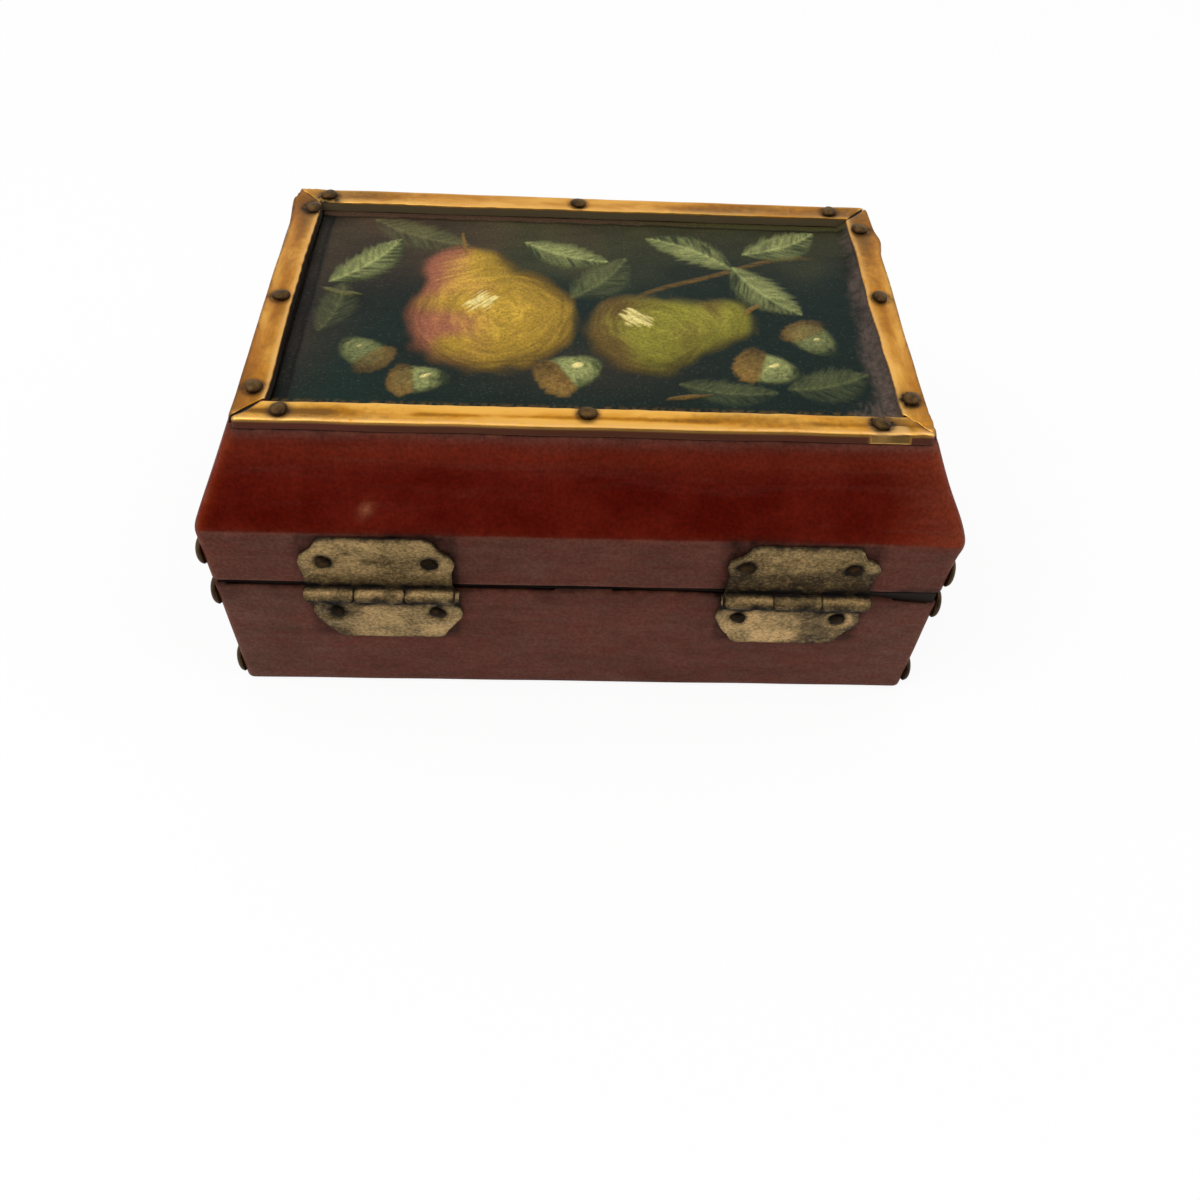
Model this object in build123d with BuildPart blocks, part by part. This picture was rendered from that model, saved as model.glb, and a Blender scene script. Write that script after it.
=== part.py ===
"""Trinket box: a wooden box covered in red-brown leather, with a hipped lid.

The base is a shallow tray of butt-jointed boards, nailed at its ends with domed tacks. The lid has
an upright band, four boards that lean in, and a flat top that carries a painted panel inside a
frame of folded brass strips. Two brass butt hinges join base and lid at the back, and a small
hook on the front of the base hangs down, or swings up to catch a peg on the lid.

The origin is the middle of the underside. +Z is up, the front faces -Y and the hinges face +Y.
All sizes are in millimetres.
"""

import os
from math import cos, hypot, radians, sin

from build123d import *

os.makedirs("parts", exist_ok=True)

# The box
box_width = 152.0  # outside of the leather, left to right
box_depth = 100.0  # outside of the leather, front to back
base_height = 33.8  # table to the base's wooden rim
parting_gap = 0.5  # air between the two rims when the box is shut
band_height = 15.0  # upright part of the lid's sides
slope_rise = 18.9  # height that the leaning part of the lid adds
slope_inset = 8.8  # how far the leaning part comes in at the top
wall = 5.0  # wall boards, measured level
floor_board = 4.0
top_board = 4.0
underside_felt = 0.5
underside_margin = 2.0  # leather left bare around the felt

# Coverings
leather = 1.0
rim_setback = 0.4  # bare wooden rim between the leather's edge and the parting
corner_radius = 2.0  # upright edges, over the leather
break_radius = 1.6  # edge between the lid's band and its slope
top_edge_radius = 0.7
lining = 0.8  # fabric pasted on card
lining_setback = 1.0  # bare wood between the lining's edge and the rim

# Painted panel and its frame of brass strips
frame_margin = 1.2  # leather left bare outside the frame
strip_width = 5.2
strip_height = 1.8  # brass above the leather
strip_sheet = 0.4
strip_fold_radius = 0.35
panel_sheet = 0.8
panel_gap = 0.4  # air between the panel and the strip's inner fold
fold_depth = 0.6  # how far the inner fold reaches past the leather's face
# Nails along each strip, set by eye: from the frame's corner at the right or rear end, from the
# middle towards that end, and from the frame's corner at the other end
frame_nail_places = {
    "rear": (8.3, -1.3, 9.6),
    "front": (6.6, 1.8, 8.6),
    "right": (8.1, 2.4, 8.2),
    "left": (10.2, -3.9, 9.7),
}

# Nails and tacks
nail_head_radius = 1.9
nail_head_height = 0.8
hinge_nail_head_radius = 1.7
hinge_nail_head_height = 0.6
nail_shank_radius = 0.6
frame_nail_length = 5.6
hinge_nail_length = 5.4
tack_head_radius = 3.5
tack_head_height = 1.8
tack_shank_radius = 0.8
tack_length = 10.0
tack_below_rim = 5.3  # base's rim to the upper tacks' middle
tack_above_table = 4.4  # table to the lower tacks' middle
lid_tack_height = {"right": 7.0, "left": 4.4}  # lid's rim to the tacks' middle, at each end
nail_point = 1.2  # length of a shank's taper
shank_fit = 0.05  # clearance around every shank

# Butt hinges
hinge_inset_right = 34.5  # end of the box to the middle of the hinge
hinge_inset_left = 31.2
hinge_length = 30.6  # along the pin
hinge_rise = 15.4  # pin's axis to the edge of a leaf
leaf_sheet = 0.8
knuckle_radius = 1.75
knuckle_gap = 0.1  # knuckle to leather, and knuckle to the other leaf
knuckle_end_gap = 0.15  # between one knuckle and the next
pin_radius = 0.8
pin_fit = 0.05
pin_below_rim = 0.4  # the pin's axis is this much under the base's rim
hinge_nail_x = 10.6  # nails, from the hinge's middle
upper_nail_rise = 8.6  # pin's axis up to the nails in the lid's leaves
lower_nail_drop = 6.9  # pin's axis down to the nails in the base's leaves
leaf_ear = 0.6  # how far the ear round a nail stands past the barrel's end
leaf_shoulder_inset = 2.0  # barrel's end to where the ear's curve stops
leaf_shoulder_drop = 3.6  # leaf's edge to where the ear's curve stops
leaf_step_inset = 3.0  # barrel's end to the foot of the raised middle
leaf_step_drop = 2.8
leaf_crown_inset = 5.0  # barrel's end to the corner of the raised middle

# Swinging hook on the front
hook_reach = 14.3  # pivot to peg
hook_sheet = 1.2
hook_width = 3.4
hook_eye_radius = 2.9
hook_end_radius = 3.8
hook_tab_length = 6.4  # finger tab, from the peg's middle
pivot_radius = 1.2
pivot_fit = 0.05
pivot_head_radius = 2.3
peg_radius = 1.1
peg_fit = 0.25
peg_head_radius = 2.0
stud_head_height = 0.9
stud_length = 5.0  # pivot and peg, into the boards
hook_side_gap = 0.15  # air on each face of the hook
plate_sheet = 0.8
plate_radius = 4.6
plate_ear_radius = 2.3
plate_nail_reach = 5.7  # stud to the plate's nails
plate_nail_turn = 30.0  # degrees that each nail is turned up or down from level
plate_nail_radius = 1.3
plate_nail_height = 0.6

# Levels
lid_rim = base_height + parting_gap
lid_break = lid_rim + band_height
lid_top = lid_break + slope_rise
frame_top = lid_top + strip_height
wood_top = lid_top - leather
top_board_under = wood_top - top_board
floor_top = underside_felt + floor_board
panel_top = wood_top + panel_sheet

# The leather lies square to the slope, so it is thicker than itself when measured level.
slope_length = hypot(slope_rise, slope_inset)
lean = slope_inset / slope_rise
leather_level = leather * slope_length / slope_rise
wood_break = lid_break - (leather_level - leather) / lean

# Half sizes of the wood, and of the frame's outside
half_width = box_width / 2 - leather
half_depth = box_depth / 2 - leather
frame_half_width = box_width / 2 - slope_inset - frame_margin
frame_half_depth = box_depth / 2 - slope_inset - frame_margin

# Places on the back and front
rear_face = box_depth / 2
front_face = -box_depth / 2
pin_y = rear_face + knuckle_radius + knuckle_gap
pin_z = base_height - pin_below_rim
peg_z = lid_rim + band_height / 2
hook_pivot_z = peg_z - hook_reach
hook_back = front_face - plate_sheet - hook_side_gap
hook_front = hook_back - hook_sheet
hinges = {
    "right": box_width / 2 - hinge_inset_right,
    "left": hinge_inset_left - box_width / 2,
}

# Each side's outward direction
sides = {
    "rear": Vector(0, 1, 0),
    "front": Vector(0, -1, 0),
    "right": Vector(1, 0, 0),
    "left": Vector(-1, 0, 0),
}


def save(part, name):
    """Labels one finished piece and writes it."""
    part.label = name
    export_step(part, f"parts/{name}.step")


def in_from_wood(z):
    """How far the lid's wooden outside has come in at this height."""
    return max(0.0, (z - wood_break) * lean)


def drill(spots, radius, length):
    """Cuts a round hole along each spot's own Z axis, through the part being built."""
    with Locations(*spots):
        Cylinder(radius, length, mode=Mode.SUBTRACT)


def round_nail(head_radius, head_height, shank_radius, shank_length):
    """A nail along Z: a domed head standing on the XY plane, with its shank and point below."""
    with BuildPart() as nail:
        with BuildSketch(Plane.XZ):
            with BuildLine():
                Polyline(
                    (head_radius, 0),
                    (shank_radius, 0),
                    (shank_radius, nail_point - shank_length),
                    (0, -shank_length),
                    (0, head_height),
                )
                TangentArc((0, head_height), (head_radius, 0), tangent=(1, 0))
            make_face()
        revolve(axis=Axis.Z)
    return nail.part


def nail_group(nail, spots):
    """The same nail at each spot."""
    with BuildPart() as group:
        with Locations(*spots):
            add(nail)
    return group.part


def mitred_side(outward, section, half_x, half_y, nail_spots=()):
    """One of four sides that meet in mitres.

    The section is a list of (distance in from the outer face, height) points, and half_x and half_y
    are half the size of the ring's outside, where its outer faces stand.
    """
    along = Vector(outward.Y, -outward.X, 0)
    reach = half_x if outward.X else half_y
    half_length = half_y if outward.X else half_x
    with BuildPart() as bar:
        with BuildSketch(Plane(origin=(0, 0, 0), x_dir=outward, z_dir=along)):
            with BuildLine():
                Polyline(*[(reach - inward, z) for inward, z in section], close=True)
            make_face()
        extrude(amount=half_length, both=True)
        for end in (along, -along):
            corner = outward * reach + end * half_length
            split(bisect_by=Plane(origin=corner, z_dir=end - outward), keep=Keep.BOTTOM)
        if nail_spots:
            drill(nail_spots, nail_shank_radius + shank_fit, 2 * box_depth)
    return bar.part


def carcass_board(width, depth, low, high, x=0.0, y=0.0, spots=(), radius=nail_shank_radius):
    """A square-cut board from one height to another, with holes where shanks pass into it."""
    with BuildPart() as board:
        with BuildSketch(Plane.XY.offset(low)):
            with Locations((x, y)):
                Rectangle(width, depth)
        extrude(amount=high - low)
        if spots:
            drill(spots, radius + shank_fit, 2 * tack_length)
    return board.part


# Where the tacks and nails go. Each spot's own Z axis points out of the surface.
tack_y = half_depth - wall / 2


def tack_spots(end, heights):
    """Tacks near the two upright edges of one end, at these heights."""
    side = 1 if end == "right" else -1
    return [
        Location((side * box_width / 2, back * tack_y, z), (0, side * 90, 0))
        for back in (-1, 1)
        for z in heights
    ]


base_tack_spots = []
lid_tack_spots = []
for end, tack_height in lid_tack_height.items():
    base_tack_spots += tack_spots(end, (tack_above_table, base_height - tack_below_rim))
    lid_tack_spots += tack_spots(end, (lid_rim + tack_height,))


def hinge_nail_spots(rise):
    """Two nails in one leaf of each hinge, at this height over the pin."""
    return [
        Location((x + side * hinge_nail_x, rear_face + leaf_sheet, pin_z + rise), (-90, 0, 0))
        for x in hinges.values()
        for side in (-1, 1)
    ]


upper_nail_spots = hinge_nail_spots(upper_nail_rise)
lower_nail_spots = hinge_nail_spots(-lower_nail_drop)

# Both nails of a plate sit to the left of its stud, where the hook never passes.
plate_nail_x = -plate_nail_reach * cos(radians(plate_nail_turn))
plate_nail_rise = plate_nail_reach * sin(radians(plate_nail_turn))
plate_nail_marks = [(plate_nail_x, -plate_nail_rise), (plate_nail_x, plate_nail_rise)]


def plate_nail_spots(z):
    """Two small nails in a plate on the front."""
    return [Location((x, front_face - plate_sheet, z + up), (90, 0, 0)) for x, up in plate_nail_marks]


def stud_spot(z):
    """A stud through the middle of a plate on the front."""
    return [Location((0, front_face - plate_sheet, z), (90, 0, 0))]


frame_nail_spots = {}
for name, (first, middle, last) in frame_nail_places.items():
    outward = sides[name]
    if outward.X:
        across = outward.X * (frame_half_width - strip_width / 2)
        marks = [(across, y) for y in (frame_half_depth - first, middle, last - frame_half_depth)]
    else:
        across = outward.Y * (frame_half_depth - strip_width / 2)
        marks = [(x, across) for x in (frame_half_width - first, middle, last - frame_half_width)]
    frame_nail_spots[name] = [Location((x, y, frame_top)) for x, y in marks]
all_frame_nail_spots = sum(frame_nail_spots.values(), [])

# Boards of the base: the two ends cover the ends of the front and rear boards.
inner_half_width = half_width - wall
inner_half_depth = half_depth - wall


def save_board_ring(name, low, high, tacks, hinge_nails, plate_nails, stud, stud_radius):
    """Four upright boards: two ends, and a front and a rear board between them."""
    middle_x = half_width - wall / 2
    for side, x in (("left", -middle_x), ("right", middle_x)):
        end = carcass_board(wall, 2 * half_depth, low, high, x=x, spots=tacks, radius=tack_shank_radius)
        save(end, f"{name}_{side}_board")
    for side, y in (("rear", tack_y), ("front", -tack_y)):
        plain_board = carcass_board(2 * inner_half_width, wall, low, high, y=y)
        with BuildPart() as board:
            add(plain_board)
            drill(tacks, tack_shank_radius + shank_fit, 2 * tack_length)
            if side == "rear":
                drill(hinge_nails, nail_shank_radius + shank_fit, 2 * hinge_nail_length)
            else:
                drill(plate_nails, nail_shank_radius + shank_fit, 2 * stud_length)
                drill(stud, stud_radius + shank_fit, 2 * stud_length)
        save(board.part, f"{name}_{side}_board")


save_board_ring(
    "base",
    underside_felt,
    base_height,
    base_tack_spots,
    lower_nail_spots,
    plate_nail_spots(hook_pivot_z),
    stud_spot(hook_pivot_z),
    pivot_radius,
)
save(
    carcass_board(2 * inner_half_width, 2 * inner_half_depth, underside_felt, floor_top),
    "base_floor_board",
)
save_board_ring(
    "lid_band",
    lid_rim,
    wood_break,
    lid_tack_spots,
    upper_nail_spots,
    plate_nail_spots(peg_z),
    stud_spot(peg_z),
    peg_radius,
)

# Leaning boards of the lid, mitred at the hips, and the top board that rests on them
slope_section = [
    (0, wood_break),
    (in_from_wood(top_board_under), top_board_under),
    (in_from_wood(top_board_under) + wall, top_board_under),
    (wall, wood_break),
]
for name, outward in sides.items():
    save(mitred_side(outward, slope_section, half_width, half_depth), f"lid_slope_{name}_board")

with BuildPart() as lid_top_board:
    for level in (top_board_under, wood_top):
        with BuildSketch(Plane.XY.offset(level)):
            Rectangle(2 * (half_width - in_from_wood(level)), 2 * (half_depth - in_from_wood(level)))
    loft(ruled=True)
    drill(all_frame_nail_spots, nail_shank_radius + shank_fit, 2 * frame_nail_length)
save(lid_top_board.part, "lid_top_board")

# Leather of the base: a band glued round the four walls
with BuildPart() as base_leather_cover:
    with BuildSketch(Plane.XY.offset(underside_felt)):
        RectangleRounded(box_width, box_depth, corner_radius)
        Rectangle(2 * half_width, 2 * half_depth, mode=Mode.SUBTRACT)
    extrude(amount=base_height - rim_setback - underside_felt)
    drill(base_tack_spots, tack_shank_radius + shank_fit, 2 * tack_length)
    drill(lower_nail_spots, nail_shank_radius + shank_fit, 2 * hinge_nail_length)
    drill(plate_nail_spots(hook_pivot_z), nail_shank_radius + shank_fit, 2 * stud_length)
    drill(stud_spot(hook_pivot_z), pivot_radius + shank_fit, 2 * stud_length)
save(base_leather_cover.part, "base_leather_cover")

# Leather of the lid: it follows the band and the slope and turns in under the brass frame
with BuildPart() as lid_leather_cover:
    with BuildSketch(Plane.XY.offset(lid_rim + rim_setback)):
        RectangleRounded(box_width, box_depth, corner_radius)
    extrude(amount=band_height - rim_setback)
    for level, inset in ((lid_break, 0), (lid_top, slope_inset)):
        with BuildSketch(Plane.XY.offset(level)):
            RectangleRounded(box_width - 2 * inset, box_depth - 2 * inset, corner_radius)
    loft(ruled=True)
    fillet(edges().filter_by_position(Axis.Z, lid_break - 0.01, lid_break + 0.01), break_radius)
    fillet(edges().group_by(Axis.Z)[-1], top_edge_radius)
    with BuildSketch(Plane.XY.offset(lid_rim)):
        Rectangle(2 * half_width, 2 * half_depth)
    extrude(amount=wood_break - lid_rim, mode=Mode.SUBTRACT)
    for level in (wood_break, wood_top):
        with BuildSketch(Plane.XY.offset(level)):
            Rectangle(2 * (half_width - in_from_wood(level)), 2 * (half_depth - in_from_wood(level)))
    loft(ruled=True, mode=Mode.SUBTRACT)
    with BuildSketch(Plane.XY.offset(wood_top)):
        Rectangle(
            2 * (frame_half_width - strip_width + strip_sheet),
            2 * (frame_half_depth - strip_width + strip_sheet),
        )
    extrude(amount=2 * leather, mode=Mode.SUBTRACT)
    drill(lid_tack_spots, tack_shank_radius + shank_fit, 2 * tack_length)
    drill(all_frame_nail_spots, nail_shank_radius + shank_fit, 2 * frame_nail_length)
    drill(upper_nail_spots, nail_shank_radius + shank_fit, 2 * hinge_nail_length)
    drill(plate_nail_spots(peg_z), nail_shank_radius + shank_fit, 2 * stud_length)
    drill(stud_spot(peg_z), peg_radius + shank_fit, 2 * stud_length)
save(lid_leather_cover.part, "lid_leather_cover")

# Felt under the base
with BuildPart() as underside_cover:
    with BuildSketch():
        RectangleRounded(
            box_width - 2 * underside_margin, box_depth - 2 * underside_margin, corner_radius
        )
    extrude(amount=underside_felt)
save(underside_cover.part, "underside_felt")

# Lining: a floor and four mitred walls in the base, and the same upside down in the lid
base_lining_section = [
    (0, floor_top),
    (0, base_height - lining_setback),
    (lining, base_height - lining_setback),
    (lining, floor_top),
]
lid_lining_section = [
    (0, lid_rim + lining_setback),
    (0, wood_break),
    (in_from_wood(top_board_under), top_board_under),
    (in_from_wood(top_board_under) + lining, top_board_under),
    (lining, wood_break),
    (lining, lid_rim + lining_setback),
]
for name, outward in sides.items():
    base_side = mitred_side(outward, base_lining_section, inner_half_width, inner_half_depth)
    save(base_side, f"base_lining_{name}")
    lid_side = mitred_side(outward, lid_lining_section, inner_half_width, inner_half_depth)
    save(lid_side, f"lid_lining_{name}")

floor_lining = carcass_board(
    2 * (inner_half_width - lining), 2 * (inner_half_depth - lining), floor_top, floor_top + lining
)
save(floor_lining, "base_lining_floor")
top_lining_in = in_from_wood(top_board_under) + lining
top_lining = carcass_board(
    2 * (inner_half_width - top_lining_in),
    2 * (inner_half_depth - top_lining_in),
    top_board_under - lining,
    top_board_under,
)
save(top_lining, "lid_lining_top")

# Painted panel, wooden fillets and the folded brass strips that cap them
with BuildPart() as painted_panel:
    panel_in = strip_width + panel_gap
    with BuildSketch(Plane.XY.offset(wood_top)):
        Rectangle(2 * (frame_half_width - panel_in), 2 * (frame_half_depth - panel_in))
    extrude(amount=panel_sheet)
save(painted_panel.part, "painted_panel")

fillet_section = [
    (strip_sheet, lid_top),
    (strip_sheet, frame_top - strip_sheet),
    (strip_width - strip_sheet, frame_top - strip_sheet),
    (strip_width - strip_sheet, lid_top),
]
strip_section = [
    (0, lid_top),
    (0, frame_top - strip_fold_radius),
    (strip_fold_radius, frame_top),
    (strip_width - strip_fold_radius, frame_top),
    (strip_width, frame_top - strip_fold_radius),
    (strip_width, lid_top - fold_depth),
    (strip_width - strip_sheet, lid_top - fold_depth),
    (strip_width - strip_sheet, frame_top - strip_sheet),
    (strip_sheet, frame_top - strip_sheet),
    (strip_sheet, lid_top),
]
for name, outward in sides.items():
    spots = frame_nail_spots[name]
    bar = mitred_side(outward, fillet_section, frame_half_width, frame_half_depth, spots)
    save(bar, f"frame_fillet_{name}")
    strip = mitred_side(outward, strip_section, frame_half_width, frame_half_depth, spots)
    save(strip, f"brass_strip_{name}")

# Nails and tacks
frame_nail = round_nail(nail_head_radius, nail_head_height, nail_shank_radius, frame_nail_length)
hinge_nail = round_nail(
    hinge_nail_head_radius, hinge_nail_head_height, nail_shank_radius, hinge_nail_length
)
plate_nail = round_nail(plate_nail_radius, plate_nail_height, nail_shank_radius, stud_length)
side_tack = round_nail(tack_head_radius, tack_head_height, tack_shank_radius, tack_length)
save(nail_group(frame_nail, all_frame_nail_spots), "frame_nails")
save(nail_group(hinge_nail, lower_nail_spots), "lower_hinge_nails")
save(nail_group(hinge_nail, upper_nail_spots), "upper_hinge_nails")
save(nail_group(side_tack, base_tack_spots), "base_side_tacks")
save(nail_group(side_tack, lid_tack_spots), "lid_side_tacks")
save(nail_group(plate_nail, plate_nail_spots(peg_z)), "peg_plate_nails")
save(nail_group(plate_nail, plate_nail_spots(hook_pivot_z)), "hook_plate_nails")


def hinge_leaf(middle, nail_rise, nail_spots):
    """One leaf of a butt hinge, with its ears level with its nails.

    A leaf that rises from the pin has the two outer knuckles, and one that drops from it has the
    knuckle between them.
    """
    knuckle = hinge_length / 3 - knuckle_end_gap
    if nail_rise > 0:
        own = [-hinge_length / 3, hinge_length / 3]
        others = [0]
    else:
        own = [0]
        others = [-hinge_length / 3, hinge_length / 3]
    half = hinge_length / 2
    ear = (half + leaf_ear, abs(nail_rise))
    ear_top = (half - leaf_shoulder_inset, hinge_rise - leaf_shoulder_drop)
    step = (half - leaf_step_inset, hinge_rise - leaf_step_drop)
    crown = (half - leaf_crown_inset, hinge_rise)
    with BuildPart() as leaf:
        with BuildSketch(Plane(origin=(middle, rear_face, pin_z), x_dir=(1, 0, 0), z_dir=(0, -1, 0))):
            with BuildLine():
                Line((0, 0), (half, 0))
                Line((half, 0), ear)
                TangentArc(ear, ear_top, tangent=(leaf_ear, abs(nail_rise)))
                Line(ear_top, step)
                TangentArc(step, crown, tangent=(0, 1))
                Line(crown, (0, hinge_rise))
                mirror(about=Plane.YZ)
            make_face()
            if nail_rise < 0:
                mirror(about=Plane.XZ, mode=Mode.REPLACE)
        extrude(amount=-leaf_sheet)
        at_other = [Location((middle + x, pin_y, pin_z), (0, 90, 0)) for x in others]
        drill(at_other, knuckle_radius + knuckle_gap, hinge_length / 3 + 0.01)
        with Locations(*[Location((middle + x, pin_y, pin_z), (0, 90, 0)) for x in own]):
            Cylinder(knuckle_radius, knuckle)
        drill([Location((middle, pin_y, pin_z), (0, 90, 0))], pin_radius + pin_fit, 2 * hinge_length)
        drill(nail_spots, nail_shank_radius + shank_fit, 4 * leaf_sheet)
    return leaf.part


for name, middle in hinges.items():
    save(hinge_leaf(middle, -lower_nail_drop, lower_nail_spots), f"{name}_hinge_lower_leaf")
    save(hinge_leaf(middle, upper_nail_rise, upper_nail_spots), f"{name}_hinge_upper_leaf")
    with BuildPart() as hinge_pin:
        with BuildSketch(Plane.YZ.offset(middle - hinge_length / 2)):
            with Locations((pin_y, pin_z)):
                Circle(pin_radius)
        extrude(amount=hinge_length)
    save(hinge_pin.part, f"{name}_hinge_pin")


def front_plate(z, hole_radius):
    """A round plate with an ear for each nail, flat on the front of the box."""
    with BuildPart() as plate:
        with BuildSketch(Plane(origin=(0, front_face, z), x_dir=(1, 0, 0), z_dir=(0, -1, 0))):
            Circle(plate_radius)
            with Locations(*plate_nail_marks):
                Circle(plate_ear_radius)
            Circle(hole_radius + shank_fit, mode=Mode.SUBTRACT)
            with Locations(*plate_nail_marks):
                Circle(nail_shank_radius + shank_fit, mode=Mode.SUBTRACT)
        extrude(amount=plate_sheet)
    return plate.part


def headed_stud(shank_radius, head_radius, z):
    """A stud from inside the front board to a domed head that stands clear of the hook."""
    neck = hook_sheet + 2 * hook_side_gap
    stud = round_nail(head_radius, stud_head_height, shank_radius, stud_length + neck)
    with BuildPart() as placed:
        with Locations(Location((0, front_face - plate_sheet - neck, z), (90, 0, 0))):
            add(stud)
    return placed.part


save(front_plate(peg_z, peg_radius), "peg_plate")
save(front_plate(hook_pivot_z, pivot_radius), "hook_plate")
save(headed_stud(peg_radius, peg_head_radius, peg_z), "peg")
save(headed_stud(pivot_radius, pivot_head_radius, hook_pivot_z), "hook_pivot")

# The hook hangs from its pivot with its finger tab to the left. Swung up on the right, through half
# a turn, it takes the peg into a curved slot that follows the peg's path.
slot_half = peg_radius + peg_fit
with BuildPart() as latch_hook:
    hook_plane = Plane(origin=(0, hook_back, hook_pivot_z), x_dir=(1, 0, 0), z_dir=(0, -1, 0))
    with BuildSketch(hook_plane):
        Circle(hook_eye_radius)
        with Locations((0, -hook_reach / 2)):
            Rectangle(hook_width, hook_reach)
        with Locations((0, -hook_reach)):
            Circle(hook_end_radius)
            with Locations((-hook_tab_length / 2, 0)):
                Rectangle(hook_tab_length, hook_width)
            with Locations((-hook_tab_length, 0)):
                Circle(hook_width / 2)
        with BuildSketch(mode=Mode.SUBTRACT):
            Circle(hook_reach + slot_half)
            Circle(hook_reach - slot_half, mode=Mode.SUBTRACT)
            with Locations((hook_reach, -hook_reach)):
                Rectangle(2 * hook_reach, 2 * hook_reach, mode=Mode.INTERSECT)
        with Locations((0, -hook_reach)):
            Circle(slot_half, mode=Mode.SUBTRACT)
        Circle(pivot_radius + pivot_fit, mode=Mode.SUBTRACT)
    extrude(amount=hook_sheet)
save(latch_hook.part, "latch_hook")
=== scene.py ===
"""Dresses the trinket box: leather, brass, nails, hinges, painted panel and lining.

Lengths inside the functions are in millimetres in the box's own frame, and become metres when a
mesh is made. +Z is up, the hinges face +Y and the hook faces -Y.
"""

import bmesh
import bpy
import numpy as np
from bpy.props import FloatProperty, FloatVectorProperty, PointerProperty
from mathutils import Matrix, Vector


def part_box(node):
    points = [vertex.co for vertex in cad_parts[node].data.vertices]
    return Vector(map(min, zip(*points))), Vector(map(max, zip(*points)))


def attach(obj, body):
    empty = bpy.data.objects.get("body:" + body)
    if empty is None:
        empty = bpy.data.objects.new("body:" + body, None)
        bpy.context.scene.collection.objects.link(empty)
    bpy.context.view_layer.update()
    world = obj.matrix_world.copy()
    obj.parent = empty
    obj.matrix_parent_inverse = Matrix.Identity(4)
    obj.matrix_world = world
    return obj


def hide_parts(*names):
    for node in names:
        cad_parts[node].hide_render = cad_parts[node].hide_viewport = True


bl_info = {
    "name": "Trinket Box",
    "version": (1, 0, 0),
    "blender": (4, 5, 0),
    "location": "View3D > Sidebar > Trinket Box",
    "description": "Leather-covered trinket box with brass hinges and a painted lid",
    "category": "Object",
}

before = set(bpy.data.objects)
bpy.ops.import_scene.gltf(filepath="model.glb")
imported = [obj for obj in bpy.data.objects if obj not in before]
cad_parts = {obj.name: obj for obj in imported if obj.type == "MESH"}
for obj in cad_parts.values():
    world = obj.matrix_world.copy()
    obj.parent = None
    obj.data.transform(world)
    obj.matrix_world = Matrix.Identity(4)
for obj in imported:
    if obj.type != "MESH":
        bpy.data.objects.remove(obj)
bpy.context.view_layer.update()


def node_box(name):
    """Lowest and highest corner of a CAD node, in millimetres."""
    low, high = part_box(name)
    return np.array(low) * 1000, np.array(high) * 1000


def linear(hex_colour):
    """Turns an sRGB hex colour into linear red, green, blue and alpha."""
    share = np.array([int(hex_colour[i : i + 2], 16) for i in (1, 3, 5)]) / 255
    light = np.where(share <= 0.04045, share / 12.92, ((share + 0.055) / 1.055) ** 2.4)
    return (*(float(value) for value in light), 1.0)


def per_mm(size):
    """Texture scale at which one cell of a pattern is this many millimetres wide."""
    return 1000.0 / size


# Sizes shared with the solids
LID_LOW, LID_HIGH = node_box("lid_leather_cover")
BASE_LOW, BASE_HIGH = node_box("base_leather_cover")
HALF_WIDTH = (BASE_HIGH[0] - BASE_LOW[0]) / 2
HALF_DEPTH = (BASE_HIGH[1] - BASE_LOW[1]) / 2
LID_TOP = LID_HIGH[2]
FRAME_LOW, FRAME_HIGH = node_box("brass_strip_rear")
FRAME_HALF_WIDTH = FRAME_HIGH[0]
FRAME_HALF_DEPTH = FRAME_HIGH[1]
FRAME_TOP = FRAME_HIGH[2]
STRIP_WIDTH = FRAME_HIGH[1] - FRAME_LOW[1]
SLOPE_INSET = 8.8
BREAK_HEIGHT = 49.3
LEATHER = 1.0
SHEET = 0.4
LINING = 0.8

SIDES = {
    "rear": np.array([0.0, 1.0, 0.0]),
    "front": np.array([0.0, -1.0, 0.0]),
    "right": np.array([1.0, 0.0, 0.0]),
    "left": np.array([-1.0, 0.0, 0.0]),
}

# Nails along each strip: from one corner, from the middle, and from the other corner
FRAME_NAILS = {
    "rear": (8.3, 0.0, 9.9),
    "front": (6.6, 1.8, 8.6),
    "right": (8.9, 1.9, 8.2),
    "left": (10.2, -3.9, 9.7),
}

# How far a nail was driven in from its strip's middle line
STRAYED = {"rear": (0.0, 1.0, 0.0), "right": (0.0, 0.0, 1.3)}

HINGES = {"right": 41.5, "left": -44.8}
HINGE_HALF = 15.3
HINGE_RISE = 15.4
LEAF_SHEET = 0.8
# Points round a nail
NAIL_STEPS = 28
PIN = (HALF_DEPTH + 1.85, 33.4)
# Nails of each leaf, upper (1) and lower (-1): along the hinge from its middle, and away from the pin
HINGE_NAILS = {
    ("right", 1): ((-10.6, 8.6), (10.6, 8.7)),
    ("right", -1): ((-11.2, 6.8), (9.8, 7.0)),
    ("left", 1): ((-10.4, 9.1), (11.6, 9.3)),
    ("left", -1): ((-10.3, 6.9), (11.2, 6.9)),
}
# How far each lower leaf sits to one side of its barrel
LEAF_SLIP = {("right", -1): -0.9, ("left", -1): 0.5}


def strip_nails(side):
    """Places of a strip's nails: along its run from its middle, and inwards from its middle line."""
    half = FRAME_HALF_DEPTH if SIDES[side][0] else FRAME_HALF_WIDTH
    first, middle, last = FRAME_NAILS[side]
    return zip((half - first, middle, last - half), STRAYED.get(side, (0.0, 0.0, 0.0)))


# Shapes


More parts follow.
